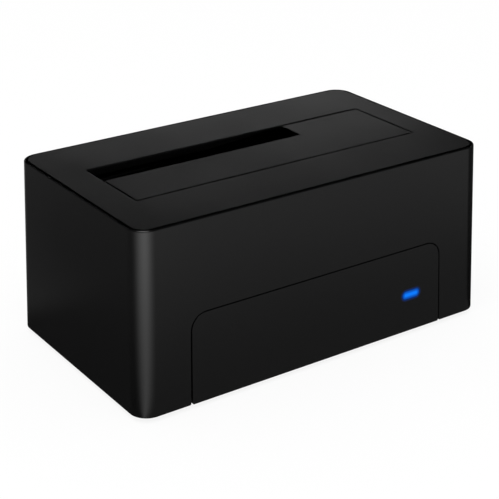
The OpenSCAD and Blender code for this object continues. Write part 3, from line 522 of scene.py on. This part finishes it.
def material(name, base, roughness, metallic=0.0, grain=5200.0, depth=0.00001, patches=45.0, tone=0.12):
    """A Principled finish whose colour, roughness and bump come from the grain group.

    Grain and patches are counted per metre, depth is the grain's depth in metres, and tone is the share by
    which the patches change the colour.
    """
    found = bpy.data.materials.get(name)
    if found:
        return found
    made, tree, shader = new_material(name)
    shader.inputs["Metallic"].default_value = metallic
    group = tree.nodes.new("ShaderNodeGroup")
    group.node_tree = grain_group()
    group.inputs["Grain per metre"].default_value = grain
    group.inputs["Patch per metre"].default_value = patches
    tree.links.new(maths(tree, "ADD", group.outputs["Gloss shift"], roughness, clamp=True),
                   shader.inputs["Roughness"])
    dark, light = ([c * k for c in base] for k in (1 - tone, 1 + tone))
    tree.links.new(mixed(tree, group.outputs["Tone"], dark, light), shader.inputs["Base Color"])
    bump = tree.nodes.new("ShaderNodeBump")
    bump.inputs["Distance"].default_value = depth
    tree.links.new(group.outputs["Height"], bump.inputs["Height"])
    tree.links.new(bump.outputs["Normal"], shader.inputs["Normal"])
    return made


def housing_plastic(name="housing_plastic"):
    """Fine matt black plastic of everything that is seen from outside."""
    f = bpy.context.scene.dock_finishes
    return material(name, f.plastic, f.plastic_roughness, grain=4200.0, depth=0.000003)


def inside_plastic():
    """Plain black plastic of the inner mouldings, its colour a little darker than the housing's as painted
    shade inside the bay.
    """
    return material("inside_plastic", bpy.context.scene.dock_finishes.inside, 0.5, grain=3000.0)


def dress(node, finish):
    """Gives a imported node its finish, with the colour slots of its mesh kept in number."""
    piece = frame["nodes"][node]
    if not piece.material_slots:
        piece.data.materials.append(finish)
    for place in piece.material_slots:
        place.material = finish


# The dock's own shapes


def below_top(z):
    """How far down the housing height z lies: nothing at its top, one at its lower edge."""
    return (shell_high.z - z) / (shell_high.z - shell_low.z)


def half_width(z):
    """Half the housing's width at height z: it grows in a straight line from the top to the lower edge."""
    s = bpy.context.scene.dock_sizes
    return s.top_width / 2 + (s.base_width - s.top_width) / 2 * below_top(z)


def half_depth(z):
    """Half the housing's depth at height z, by the same rule as the width."""
    s = bpy.context.scene.dock_sizes
    return s.top_depth / 2 + (s.base_depth - s.top_depth) / 2 * below_top(z)


def wall_directions():
    """Outward directions of the four drafted walls, which lean up by the draft."""
    s = bpy.context.scene.dock_sizes
    rise = shell_high.z - shell_low.z
    long_lean, short_lean = (s.base_depth - s.top_depth) / 2 / rise, (s.base_width - s.top_width) / 2 / rise
    return [(0, -1, long_lean), (0, 1, long_lean), (-1, 0, short_lean), (1, 0, short_lean)]


def window_corners(half, top, z_low, r):
    """Half widths of a panel window at its foot and its top. Its sides lean outwards on their way down."""
    lean = bpy.context.scene.dock_sizes.window_lean
    foot = half - r + r * math.cos(lean) + (top - r + r * math.sin(lean) - z_low) * math.tan(lean)
    return foot, foot - (top - z_low) * math.tan(lean)


def window_chain(half, top, z_low):
    """The housing's lower edge along one long wall, with the panel window cut out of it."""
    s = bpy.context.scene.dock_sizes
    r = s.window_corner
    foot, upper = window_corners(half, top, z_low, r)
    reach = s.base_width / 2
    corners = [(-reach, z_low), (-foot, z_low), (-upper, top), (upper, top), (foot, z_low), (reach, z_low)]
    return rounded_chain(corners, [0, s.window_toe, r, r, s.window_toe, 0], CORNER_STEPS, closed=False)


def front_face(points, depth):
    """Places an outline in X and Z on the front wall, depth below its drafted face."""
    return np.column_stack([points[:, 0], depth - half_depth(points[:, 1]), points[:, 1]])


def panel_outline(half, top, z_low):
    """Closed outline of a panel in its window, with the seam taken off."""
    s = bpy.context.scene.dock_sizes
    r, high = s.window_corner - s.panel_seam, top - s.panel_top_seam
    foot, upper = window_corners(half - s.panel_seam, high, z_low, r)
    return rounded_chain([(-foot, z_low), (foot, z_low), (upper, high), (-upper, high)],
                         [s.window_toe, s.window_toe, r, r], CORNER_STEPS)


class DOCK_OT_housing(bpy.types.Operator):
    """Drafted housing with round corners, a lip round the lid and a window in both long walls"""

    bl_idname = "dock.housing"
    bl_label = "Housing"

    def execute(self, context):
        """The section of the wall is carried round the plan.

        A station is a place on the plan: on a long wall its X, and on a corner its angle a. At height z and
        depth d below the face, X is the station's X plus its corner's middle plus (r - d) cos a, and Y is
        the corner's middle plus (r - d) sin a, where the middles follow the draft. The section's lower rows
        are measured from the lower edge, along its in-plane normal, and its upper rows from the top. The
        lip's crown is the part of a circle that its thickness takes in.
        """
        s = context.scene.dock_sizes
        low, high = shell_low.z, shell_high.z
        plan_steps, guard, inner_edge, lower_rows = 12, 0.15 * MM, 0.1 * MM, 10 * MM
        columns = []
        for side in (-1, 1):
            half, top = (s.window_half, s.window_height) if side < 0 else (s.rear_half, s.rear_height)
            points, normals = window_chain(half, low + top, low)
            n = len(points)
            blank = np.zeros(n)
            columns.append(np.stack([
                -side * points[:, 0], points[:, 1], -side * normals[:, 0], normals[:, 1],
                blank, blank + side, blank, blank + side]))
            for cw, cd, a0 in ((-side, side, 90 * side), (-side, -side, 90 * side + 90)):
                a = np.radians(a0 + np.linspace(0, 90, plan_steps + 1))
                one = np.ones(len(a))
                columns.append(np.stack([0 * one, low * one, 0 * one, -one, cw * one, cd * one,
                                         np.cos(a), np.sin(a)]))
        x, z, nx, nz, cw, cd, ca, sa = np.concatenate(columns, 1)
        ledge = high - s.lid_thickness
        turn = np.linspace(0, math.acos(1 - s.lip / s.rim), CORNER_STEPS)
        crown = np.stack([s.rim * (1 - np.cos(turn)), high - s.rim * (1 - np.sin(turn))], 1)
        section = rounded_section(
            [(s.wall, low), (0, low), (0, low + s.edge + guard), (0, high - s.rim - guard), *crown,
             (s.lip, ledge), (s.wall, ledge)],
            [s.edge, s.edge, 0, *[0] * len(crown), s.fine_edge, inner_edge, inner_edge], CORNER_STEPS)
        section = section[np.linalg.norm(section - np.roll(section, 1, 0), axis=1) > SAME_POINT]
        rings = []
        for d, h in section:
            rise = h - low
            from_edge = rise < lower_rows
            zz = z - nz * rise if from_edge else np.full(len(z), h)
            xx = x - nx * rise if from_edge else x
            rings.append(np.stack([
                xx + cw * (half_width(zz) - s.corner) + (s.corner - d) * ca,
                cd * (half_depth(zz) - s.corner) + (s.corner - d) * sa, zz], -1))
        make_piece("housing", [skin(np.stack(rings), closed_rows=True)], housing_plastic(), "base",
                   ["outer_shell"], wall_directions())
        return {"FINISHED"}


class DOCK_OT_lid(bpy.types.Operator):
    """Lid plate round the drive bay, with the ears that hold the flap's pin"""

    bl_idname = "dock.lid"
    bl_label = "Lid plate"

    def execute(self, context):
        s = context.scene.dock_sizes
        inset = s.lip + s.lid_gap
        w, d = s.top_width / 2 - inset, s.top_depth / 2 - inset
        plan_steps, bay_steps = 12, 6
        ear_reach, ear_half, ear_drop, ear_edge = 3.6 * MM, 1.7 * MM, 0.4 * MM, 0.2 * MM
        outer = rounded_rectangle(-w, w, -d, d, s.corner - inset, plan_steps)
        x0, x1 = s.bay_x - s.bay_width / 2, s.bay_x + s.bay_width / 2
        y0, y1 = s.bay_y - s.bay_depth / 2, s.bay_y + s.bay_depth / 2
        inner = rounded_rectangle(x0, x1 + s.bay_reach, y0, y1, s.bay_corner, bay_steps)
        top = shell_high.z
        plate = framed_plate(outer, inner, (s.bay_x, s.bay_y), s.fine_edge, s.lid_thickness,
                             lambda p, depth: flat(p, top - depth), s.lead)
        _, y, z = hinge["pos_m"]
        ears = [soft_block(a, b, y - ear_half, y + ear_half, z - ear_half, z - ear_drop, ear_edge)
                for a, b in ((x0 - ear_reach, x0), (x1 + s.bay_reach, x1 + ear_reach))]
        make_piece("lid_plate", [plate, *ears], housing_plastic(), "base", ["top_cover"],
                   LEVEL_FACES)
        return {"FINISHED"}


class DOCK_OT_flap(bpy.types.Operator):
    """Flap with its notch, hinge barrel, ribs and stop tabs"""

    bl_idname = "dock.flap"
    bl_label = "Flap"

    def execute(self, context):
        s = context.scene.dock_sizes
        x0 = s.bay_x - s.bay_width / 2 + s.flap_seam
        x1 = s.bay_x + s.bay_width / 2 - s.flap_seam
        y0 = s.bay_y - s.bay_depth / 2 + s.flap_seam
        y1 = s.bay_y + s.bay_depth / 2 - s.flap_seam
        nx = s.bay_x - s.bay_width / 2 + s.notch_width
        ny = s.bay_y + s.bay_depth / 2 - s.notch_depth
        r, right = s.bay_corner, x1 + s.bay_reach
        top = shell_high.z
        notch_corner, corner_steps = 0.5 * MM, 6
        outline = rounded_chain([(x0, y0), (right, y0), (right, y1), (nx, y1), (nx, ny), (x0, ny)],
                                [r, r, r, r, notch_corner, r], corner_steps)
        rows = soft_rows(top - s.flap_thickness, top, s.fine_edge) - [s.flap_relief, 0]
        plate = skin(plate_rings(outline, rows, flat))
        _, y, z = hinge["pos_m"]
        pocket, pocket_inset, edge, barrel_edge = 4.44 * MM, 9 * MM, 0.15 * MM, 0.1 * MM
        stops = [x0, x0 + pocket_inset, x0 + pocket_inset + pocket,
                 x1 - pocket_inset - pocket, x1 - pocket_inset, x1]
        barrels = [tube_x(a, b, y, z, s.barrel, s.pin_hole, barrel_edge)
                   for a, b in zip(stops[::2], stops[1::2])]
        rib_shares, tab_shares = (0.3, 0.5), (0.3, 0.75)
        under, rib_low, rib_inset, rib_width = z + 0.3 * MM, z - 1.2 * MM, 2 * MM, 1 * MM
        tab_width, tab_root, tab_front, tab_back = 6 * MM, 1.9 * MM, 0.05 * MM, 2.1 * MM
        tab_low, hook = top - s.lid_thickness - 1.5 * MM, 1.2 * MM
        rib_places = [(x0, y0 + k * (y1 - y0)) for k in rib_shares] + [(nx, y1 - tab_root - rib_width)]
        ribs = [soft_block(a + rib_inset, x1 - rib_inset, b, b + rib_width, rib_low, under, edge)
                for a, b in rib_places]
        tabs = []
        for k in tab_shares:
            a = nx + k * (x1 - nx) - tab_width / 2
            b = y1 - tab_root
            tabs.append(soft_block(a, a + tab_width, b, y1 - tab_front, tab_low, under, edge))
            tabs.append(soft_block(a, a + tab_width, b, y1 + tab_back, tab_low, tab_low + hook, edge))
        make_piece("flap", [plate, *barrels, *ribs, *tabs], housing_plastic(), "flap",
                   ["flap_door"], LEVEL_FACES)
        return {"FINISHED"}


class DOCK_OT_front_panel(bpy.types.Operator):
    """Front panel with the hole for the lit window, and the flange behind the housing's wall"""

    bl_idname = "dock.front_panel"
    bl_label = "Front panel"

    def execute(self, context):
        s = context.scene.dock_sizes
        low, high = shell_low.z, shell_low.z + s.window_height
        lens_gap, sunk, far_down = 0.08 * MM, 0.05 * MM, 100 * MM
        plate = framed_plate(panel_outline(s.window_half, high, low), lamp_outline(lens_gap),
                             (s.lamp_x, low + s.lamp_z), s.fine_edge, s.wall - sunk, front_face)
        # The flange follows the window's edge, from under the board up one side, over it and down again.
        flange_inner, flange_face, flange_back = -2 * MM, s.wall + 0.15 * MM, s.wall + 1.3 * MM
        below_board = 3.2 * MM
        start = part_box("main_board")[0].z - below_board
        r = s.window_corner
        foot, upper = window_corners(s.window_half, high, low, r)
        points, normals = rounded_chain(
            [(foot, start - far_down), (upper, high), (-upper, high), (-foot, start - far_down)],
            [0, r, r, 0], CORNER_STEPS, closed=False)
        points = np.concatenate([[[foot, start]], points, [[-foot, start]]])
        normals = np.concatenate([[[1, 0]], normals, [[-1, 0]]])
        section = [(s.panel_flange, flange_face), (s.panel_flange, flange_back),
                   (flange_inner, flange_back), (flange_inner, flange_face)]
        flange = skin(np.stack([front_face(points + normals * off, depth) for off, depth in section], 1))
        make_piece("front_panel_skin", [plate, flange], panel_plastic(), "base",
                   ["front_panel"], wall_directions())
        return {"FINISHED"}


def lamp_outline(gap):
    """The lit window's outline with round ends, in X and Z, drawn out by a gap."""
    s = bpy.context.scene.dock_sizes
    w, h = s.lamp_width / 2 + gap, s.lamp_height / 2 + gap
    z = shell_low.z + s.lamp_z
    almost_round, steps = 0.999, 10
    return rounded_rectangle(s.lamp_x - w, s.lamp_x + w, z - h, z + h, h * almost_round, steps)


def lamp_distance(tree):
    """How far a place is from the lens's middle line in X and Z, in half heights of the lens.

    It is the length of (the part of X beyond the line's end, Z), and so the same all along the lens's edge.
    """
    s = bpy.context.scene.dock_sizes
    place = tree.nodes.new("ShaderNodeTexCoord")
    shift = tree.nodes.new("ShaderNodeMapping")
    scale = 2 / s.lamp_height
    shift.inputs["Location"].default_value = (-s.lamp_x * scale, 0, -(shell_low.z + s.lamp_z) * scale)
    shift.inputs["Scale"].default_value = (scale,) * 3
    tree.links.new(place.outputs["Object"], shift.inputs["Vector"])
    parts = tree.nodes.new("ShaderNodeSeparateXYZ")
    tree.links.new(shift.outputs["Vector"], parts.inputs[0])
    line_end = s.lamp_width / s.lamp_height - 1
    beyond = maths(tree, "SUBTRACT", maths(tree, "ABSOLUTE", parts.outputs[0]), line_end)
    return hypotenuse(tree, maths(tree, "MAXIMUM", beyond, 0), parts.outputs[2])


def lamp_material():
    """A milky lens lit from behind: brightest along its middle line, deeper blue to its rim."""
    made, tree, shader = new_material("lamp_lens")
    shader.inputs["Roughness"].default_value = 0.3
    shader.inputs["Base Color"].default_value = (0.0, 0.01, 0.06, 1)
    shader.inputs["Specular IOR Level"].default_value = 0.12
    shader.inputs["Emission Strength"].default_value = bpy.context.scene.dock_finishes.lamp_strength
    blend = tree.nodes.new("ShaderNodeValToRGB")
    blend.color_ramp.interpolation = "EASE"
    blend.color_ramp.elements.new(0.5)
    # Places from the lens's middle line to its edge, and the colour of the light there
    places = (0.12, 0.68, 1.0)
    lights = ((0.0, 0.19, 0.95, 1), (0.0, 0.07, 0.42, 1), (0.0, 0.01, 0.07, 1))
    for stop, place, light in zip(blend.color_ramp.elements, places, lights):
        stop.position, stop.color = place, light
    tree.links.new(lamp_distance(tree), blend.inputs["Fac"])
    tree.links.new(blend.outputs["Color"], shader.inputs["Emission Color"])
    return made


def panel_plastic():
    """The housing's plastic with a painted blue glow on it, close round the lens: emission that stands in
    for the lamp's light on the plastic.
    """
    painted_lamp_glow = bpy.context.scene.dock_finishes.painted_lamp_glow
    green, full_to, gone_at = 0.15, 0.8, 1.5
    made = housing_plastic("panel_plastic")
    tree = made.node_tree
    shader = node_of(tree, "BSDF_PRINCIPLED")
    shader.inputs["Emission Strength"].default_value = 1.0
    # Painted light: the plastic emits the lamp's blue glow, full close to the lens and gone further out
    near = ramp(tree, lamp_distance(tree), full_to, gone_at, 1.0, 0.0)
    tree.links.new(mixed(tree, near, (0, 0, 0), (0, green * painted_lamp_glow, painted_lamp_glow)), shader.inputs["Emission Color"])
    return made


class DOCK_OT_lamp(bpy.types.Operator):
    """Lit window of the front panel"""

    bl_idname = "dock.lamp"
    bl_label = "Lit window"

    def execute(self, context):
        back, face, edge = -2.6 * MM, -0.02 * MM, 0.15 * MM
        rows = soft_rows(back, face, edge)
        rings = plate_rings(lamp_outline(0), rows, lambda p, d: front_face(p, -d))
        make_piece("lamp_window", [skin(rings)], lamp_material(), "base", ["light_pipe"])
        return {"FINISHED"}


class DOCK_OT_feet(bpy.types.Operator):
    """Four rubber feet with a dished sole"""

    bl_idname = "dock.feet"
    bl_label = "Feet"

    def execute(self, context):
        low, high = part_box("rubber_feet")
        radius, edge, edge_points, tall = 4.5 * MM, 0.5 * MM, 6, high.z - low.z
        middle, dish, dish_rim, sole_rim = 0.3 * MM, 0.25 * MM, radius - 1.4 * MM, radius - 1.1 * MM
        a = np.linspace(0, np.pi / 2, edge_points)
        profile = np.concatenate([
            [[dish, middle], [dish, dish_rim], [0, sole_rim]],
            np.stack([edge * (1 - np.cos(a)), radius - edge * (1 - np.sin(a))], 1),
            [[tall, radius], [tall, middle]]])
        islands = [skin(turned(profile, (x, y, low.z)))
                   for x in (low.x + radius, high.x - radius) for y in (low.y + radius, high.y - radius)]
        rubber = context.scene.dock_finishes.rubber
        finish = material("foot_rubber", rubber, 0.75, grain=2600.0, depth=0.00002)
        make_piece("feet", islands, finish, "base", ["rubber_feet"])
        return {"FINISHED"}


class DOCK_OT_inner_parts(bpy.types.Operator):
    """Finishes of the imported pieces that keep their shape"""

    bl_idname = "dock.inner_parts"
    bl_label = "Carried parts"

    def execute(self, context):
        f = context.scene.dock_finishes
        steel = material("brushed_steel", f.steel, 0.32, metallic=1.0, grain=1800.0, depth=0.000004)
        gold = material("gold_plate", f.gold, 0.25, metallic=1.0, grain=1800.0, depth=0.000003)
        near_black = (0.02, 0.02, 0.021)
        chip = material("chip_resin", near_black, 0.55, grain=3600.0)
        black = material("connector_plastic", near_black, 0.38, grain=2400.0)
        blue = material("socket_tongue", (0.012, 0.07, 0.36), 0.42, grain=2400.0)
        board = material("board_mask", f.board, 0.3, grain=900.0, patches=400.0, tone=0.3)
        ceramic = material("ceramic", (0.45, 0.33, 0.2), 0.5, grain=2000.0)
        cans = material("can_metal", (0.6, 0.61, 0.63), 0.3, metallic=1.0, grain=1500.0)
        tin = material("socket_tin", (0.62, 0.63, 0.65), 0.28, metallic=1.0, grain=1500.0)
        for node, finish, slot in (
            ("rear_panel", housing_plastic(), "housing_black"),
            ("bottom_tray", inside_plastic(), "inner_black"),
            ("drive_well", inside_plastic(), "inner_black"),
            ("hinge_pin", steel, "steel"), ("spring_coils", steel, "steel"),
            ("spring_arms", steel, "steel"), ("case_screws", steel, "steel"),
            ("well_screws", steel, "steel"), ("cover_screws", steel, "steel"),
            ("board_screws", steel, "steel"),
            ("main_board", board, "board_green"), ("sata_connector", black, "connector_black"),
            ("sata_contacts", gold, "gold_contact"), ("usb_shell", tin, "socket_metal"),
            ("usb_insulator", blue, "socket_blue"), ("dc_jack_body", black, "connector_black"),
            ("dc_jack_pin", tin, "socket_metal"), ("switch_body", black, "connector_black"),
            ("power_rocker", black, "rocker_black"), ("switch_terminals", tin, "socket_metal"),
            ("led_chip", ceramic, "ceramic"), ("bridge_chip", chip, "chip_black"),
            ("flash_chip", chip, "chip_black"), ("crystal_can", cans, "can_metal"),
            ("inductors", chip, "chip_black"), ("capacitors", cans, "can_metal"),
            ("small_passives", ceramic, "ceramic"),
        ):
            dress(node, finish)
        return {"FINISHED"}


# Studio


def stage_surface(name, points, faces, shade, **seen):
    """A surface of the stage, and the kinds of ray that it is there for."""
    mesh = bpy.data.meshes.new(name)
    mesh.from_pydata(points.tolist(), [], faces)
    mesh.materials.append(shade)
    piece = bpy.data.objects.new(name, mesh)
    bpy.context.scene.collection.objects.link(piece)
    for ray in ("camera", "diffuse", "glossy", "transmission", "shadow"):
        setattr(piece, "visible_" + ray, seen.get(ray, False))


def dome(radius, rows, columns):
    """Half a sphere over the floor: at elevation e, points at height radius sin e, radius cos e away."""
    lowest, highest = -1, 89.5
    e, a = np.meshgrid(np.radians(np.linspace(lowest, highest, rows)),
                       np.radians(np.arange(columns) * 360 / columns), indexing="ij")
    points = radius * np.stack([np.cos(e) * np.sin(a), np.cos(e) * np.cos(a), np.sin(e)], -1)
    index = np.arange(rows * columns).reshape(rows, columns)
    ahead = np.roll(index, -1, 1)
    quads = np.stack([index[:-1], ahead[:-1], ahead[1:], index[1:]], -1).reshape(-1, 4)
    return points.reshape(-1, 3), quads.tolist()


def bearing(tree, x, y, towards):
    """Cosine of the angle in plan between a place (x, y) and a bearing in degrees, from +Y towards +X."""
    angle_to = math.radians(towards)
    along = maths(tree, "ADD", maths(tree, "MULTIPLY", x, math.sin(angle_to)),
                  maths(tree, "MULTIPLY", y, math.cos(angle_to)))
    return maths(tree, "DIVIDE", along, hypotenuse(tree, x, y))


def glow_material(name):
    """An emitting stage finish, its tree, its strength socket and the place in X, Y and Z."""
    made = bpy.data.materials.new(name)
    made.use_nodes = True
    tree = made.node_tree
    tree.nodes.clear()
    place = tree.nodes.new("ShaderNodeTexCoord")
    parts = tree.nodes.new("ShaderNodeSeparateXYZ")
    tree.links.new(place.outputs["Object"], parts.inputs[0])
    light, output = tree.nodes.new("ShaderNodeEmission"), tree.nodes.new("ShaderNodeOutputMaterial")
    tree.links.new(light.outputs[0], output.inputs["Surface"])
    return made, tree, light.inputs["Strength"], parts.outputs


def between(tree, cosine, inside, outside, low, high):
    """A smooth step on a cosine: high within the angle inside, low beyond the angle outside."""
    return ramp(tree, cosine, math.cos(math.radians(outside)), math.cos(math.radians(inside)), low, high)


def floor_glow():
    """Light of the floor as the glossy plastic sees it.

    It is brightest in front of the housing, between a bearing from its left and one from its right front
    corner, and it has a peak in front of the left front corner. It dims close to the housing, by the height
    on the wall at which a place is seen: its distance from the wall over the reflected ray's slope. A limit
    is a bearing and the angles from it at which the light starts to fade and is gone, all in degrees.
    """
    t, s = bpy.context.scene.dock_studio, bpy.context.scene.dock_sizes
    made, tree, strength, (x, y, _) = glow_material("floor_glow")
    left_slope, front_slope = 1.26, 1.83
    right_limit, left_limit = (203, 66, 81), (150, 63, 77)
    behind_share, behind_fade, behind_aside = 0.6, 20 * MM, 50 * MM
    sides_from, sides_to = 40 * MM, 80 * MM

    def height(value, half, slope):
        beyond = maths(tree, "SUBTRACT", maths(tree, "ABSOLUTE", value), half)
        return maths(tree, "DIVIDE", maths(tree, "MAXIMUM", beyond, 0), slope)

    def within(corner_x, towards, inside, outside):
        return between(tree, bearing(tree, corner_x, near_y, towards), inside, outside, 0.0, 1.0)

    wide, deep = s.base_width / 2, s.base_depth / 2
    rise = maths(tree, "MAXIMUM", height(x, wide, left_slope), height(y, deep, front_slope))
    left_x, right_x = maths(tree, "ADD", x, wide), maths(tree, "SUBTRACT", x, wide)
    near_y = maths(tree, "ADD", y, deep)
    in_front = maths(tree, "MULTIPLY", within(right_x, *right_limit), within(left_x, *left_limit))
    behind = maths(tree, "MULTIPLY", ramp(tree, y, deep, deep + behind_fade, 0.0, behind_share),
                   ramp(tree, maths(tree, "ABSOLUTE", x), wide, wide + behind_aside, 1.0, 0.0))
    lit = maths(tree, "MAXIMUM", in_front, behind)
    sides = ramp(tree, x, sides_from, sides_to, t.floor_left, t.floor_right)
    level = maths(tree, "ADD", maths(tree, "MULTIPLY", lit, t.floor_front),
                  maths(tree, "MULTIPLY", maths(tree, "SUBTRACT", 1.0, lit), sides))
    # Painted shade: close to the housing the floor's light and the corner peak are dimmed, in place of the
    # housing's shade on the floor that the walls reflect
    level = maths(tree, "MULTIPLY", level, ramp(tree, rise, 0.0, t.floor_ramp, t.floor_foot, 1.0))
    facing = maths(tree, "MAXIMUM", bearing(tree, left_x, near_y, math.degrees(t.corner_bearing)), 0)
    peak = maths(tree, "MULTIPLY", maths(tree, "POWER", facing, t.corner_width), t.corner_level)
    peak = maths(tree, "MULTIPLY", peak, ramp(tree, rise, 0.0, t.floor_ramp, t.corner_foot, 1.0))
    tree.links.new(maths(tree, "ADD", level, peak), strength)
    return made


def tent_glow():
    """Dark cloth over the stage, with a pale band low down that is brightest straight behind the dock.

    The band fades out on its way up, and stays dark on both sides of the bright part before it turns pale.
    """
    t = bpy.context.scene.dock_studio
    made, tree, strength, (x, y, z) = glow_material("tent_glow")
    ring_starts, ring_full = 26, 40
    dark_line, dark_to, dark_gone = 143, 20, 32
    far = hypotenuse(tree, hypotenuse(tree, x, y), z)
    band = ramp(tree, maths(tree, "DIVIDE", z, far), math.sin(t.band_low), math.sin(t.band_high), 1.0, 0.0)
    aside = bearing(tree, x, y, math.degrees(t.glow_bearing))
    off_line = maths(tree, "ABSOLUTE", bearing(tree, x, y, dark_line))
    ring = maths(tree, "MULTIPLY", between(tree, aside, ring_starts, ring_full, t.ring, 0.0),
                 between(tree, off_line, dark_to, dark_gone, 1.0, 0.0))
    bright = maths(tree, "ADD", between(tree, aside, 0, math.degrees(t.glow_half), 0.0, t.back_glow), ring)
    bright = maths(tree, "ADD", bright, t.horizon)
    tree.links.new(maths(tree, "ADD", maths(tree, "MULTIPLY", band, bright), t.tent), strength)
    return made


def soft_lamp(name, centre, aim, width, power):
    """A square soft lamp that faces a point; its power is in watts."""
    data = bpy.data.lights.new(name, "AREA")
    data.shape, data.size, data.energy = "SQUARE", width, power
    lamp = bpy.data.objects.new(name, data)
    lamp.location = centre
    lamp.rotation_mode = "QUATERNION"
    lamp.rotation_quaternion = (Vector(aim) - Vector(centre)).to_track_quat("-Z", "Y")
    bpy.context.scene.collection.objects.link(lamp)


def seen_as_white(tree, plain, output, shade):
    """Mixes a plain white of strength 1 over a shader, for the camera, reflections and glass."""
    path = tree.nodes.new("ShaderNodeLightPath")
    seen = maths(tree, "MAXIMUM", path.outputs["Is Camera Ray"], path.outputs["Is Glossy Ray"])
    seen = maths(tree, "MAXIMUM", seen, path.outputs["Is Transmission Ray"])
    on_surface = output.type == "OUTPUT_MATERIAL"
    white = tree.nodes.new("ShaderNodeEmission" if on_surface else "ShaderNodeBackground")
    white.inputs["Color"].default_value = (1, 1, 1, 1)
    mix = tree.nodes.new("ShaderNodeMixShader")
    tree.links.new(maths(tree, "MULTIPLY", seen, 1 - shade), mix.inputs[0])
    tree.links.new(plain.outputs[0], mix.inputs[1])
    tree.links.new(white.outputs[0], mix.inputs[2])
    tree.links.new(mix.outputs[0], output.inputs["Surface"])


class DOCK_OT_studio(bpy.types.Operator):
    """White floor and surroundings, what the glossy plastic reflects, a soft lamp and the camera"""

    bl_idname = "dock.studio"
    bl_label = "Studio"

    def execute(self, context):
        scene, t = context.scene, context.scene.dock_studio
        scene.view_settings.view_transform = "Standard"
        world = scene.world or bpy.data.worlds.new("studio_world")
        scene.world = world
        world.use_nodes = True
        tree = world.node_tree
        plain = node_of(tree, "BACKGROUND")
        plain.inputs["Color"].default_value = (t.daylight,) * 3 + (1,)
        seen_as_white(tree, plain, node_of(tree, "OUTPUT_WORLD"), 0.0)

        pale, tree, shader = new_material("pale_floor")
        shader.inputs["Base Color"].default_value = (0.9, 0.9, 0.9, 1)
        shader.inputs["Roughness"].default_value = 0.9
        shader.inputs["Specular IOR Level"].default_value = 0.0
        seen_as_white(tree, shader, node_of(tree, "OUTPUT_MATERIAL"), t.floor_shade)
        reach, apart, rows, columns = 6.0, 0.1 * MM, 48, 96
        square = np.array([(-reach, -reach), (reach, -reach), (reach, reach), (-reach, reach)])
        face = [(0, 1, 2, 3)]
        stage_surface("floor", flat(square, -apart), face, pale, camera=True, diffuse=True, glossy=True,
                      transmission=True, shadow=True)
        stage_surface("floor_card", flat(square, apart), face, floor_glow(), glossy=True)
        points, quads = dome(reach, rows, columns)
        stage_surface("tent", points, quads, tent_glow(), glossy=True)
        above_left, middle, width = (-0.35, -0.35, 1.5), (0, 0, 0.03), 0.9
        soft_lamp("softbox", above_left, middle, width, t.softbox)

        camera = bpy.data.cameras.new("camera")
        camera.lens, camera.sensor_width = t.focal, 36.0
        camera.clip_start, camera.clip_end = 0.01, 50.0
        eye = bpy.data.objects.new("camera", camera)
        a, e = t.azimuth, t.elevation
        back = Vector((math.sin(a) * math.cos(e), -math.cos(a) * math.cos(e), math.sin(e)))
        eye.location = Vector(t.target) + back * t.distance
        eye.rotation_mode = "QUATERNION"
        eye.rotation_quaternion = (-back).to_track_quat("-Z", "Y")
        scene.collection.objects.link(eye)
        scene.camera = eye
        return {"FINISHED"}


class DOCK_PT_panel(bpy.types.Panel):
    """Sidebar panel that lists the dock's pieces"""

    bl_label = "Drive dock"
    bl_idname = "DOCK_PT_panel"
    bl_space_type = "VIEW_3D"
    bl_region_type = "UI"
    bl_category = "Dock"

    def draw(self, context):
        for maker in MAKERS:
            self.layout.operator(maker.bl_idname)


GROUPS = {"dock_sizes": DockSizes, "dock_finishes": DockFinishes, "dock_studio": StudioSettings}
MAKERS = (
    DOCK_OT_studio, DOCK_OT_housing, DOCK_OT_lid, DOCK_OT_flap, DOCK_OT_front_panel, DOCK_OT_lamp,
    DOCK_OT_feet, DOCK_OT_inner_parts,
)


def register():
    for name, group in GROUPS.items():
        bpy.utils.register_class(group)
        setattr(bpy.types.Scene, name, bpy.props.PointerProperty(type=group))
    for maker in (*MAKERS, DOCK_PT_panel):
        bpy.utils.register_class(maker)


def unregister():
    for maker in (DOCK_PT_panel, *reversed(MAKERS)):
        bpy.utils.unregister_class(maker)
    for name, group in reversed(GROUPS.items()):
        delattr(bpy.types.Scene, name)
        bpy.utils.unregister_class(group)


def main():
    register()
    for maker in MAKERS:
        group, name = maker.bl_idname.split(".")
        getattr(getattr(bpy.ops, group), name)()


if __name__ == "__main__":
    main()
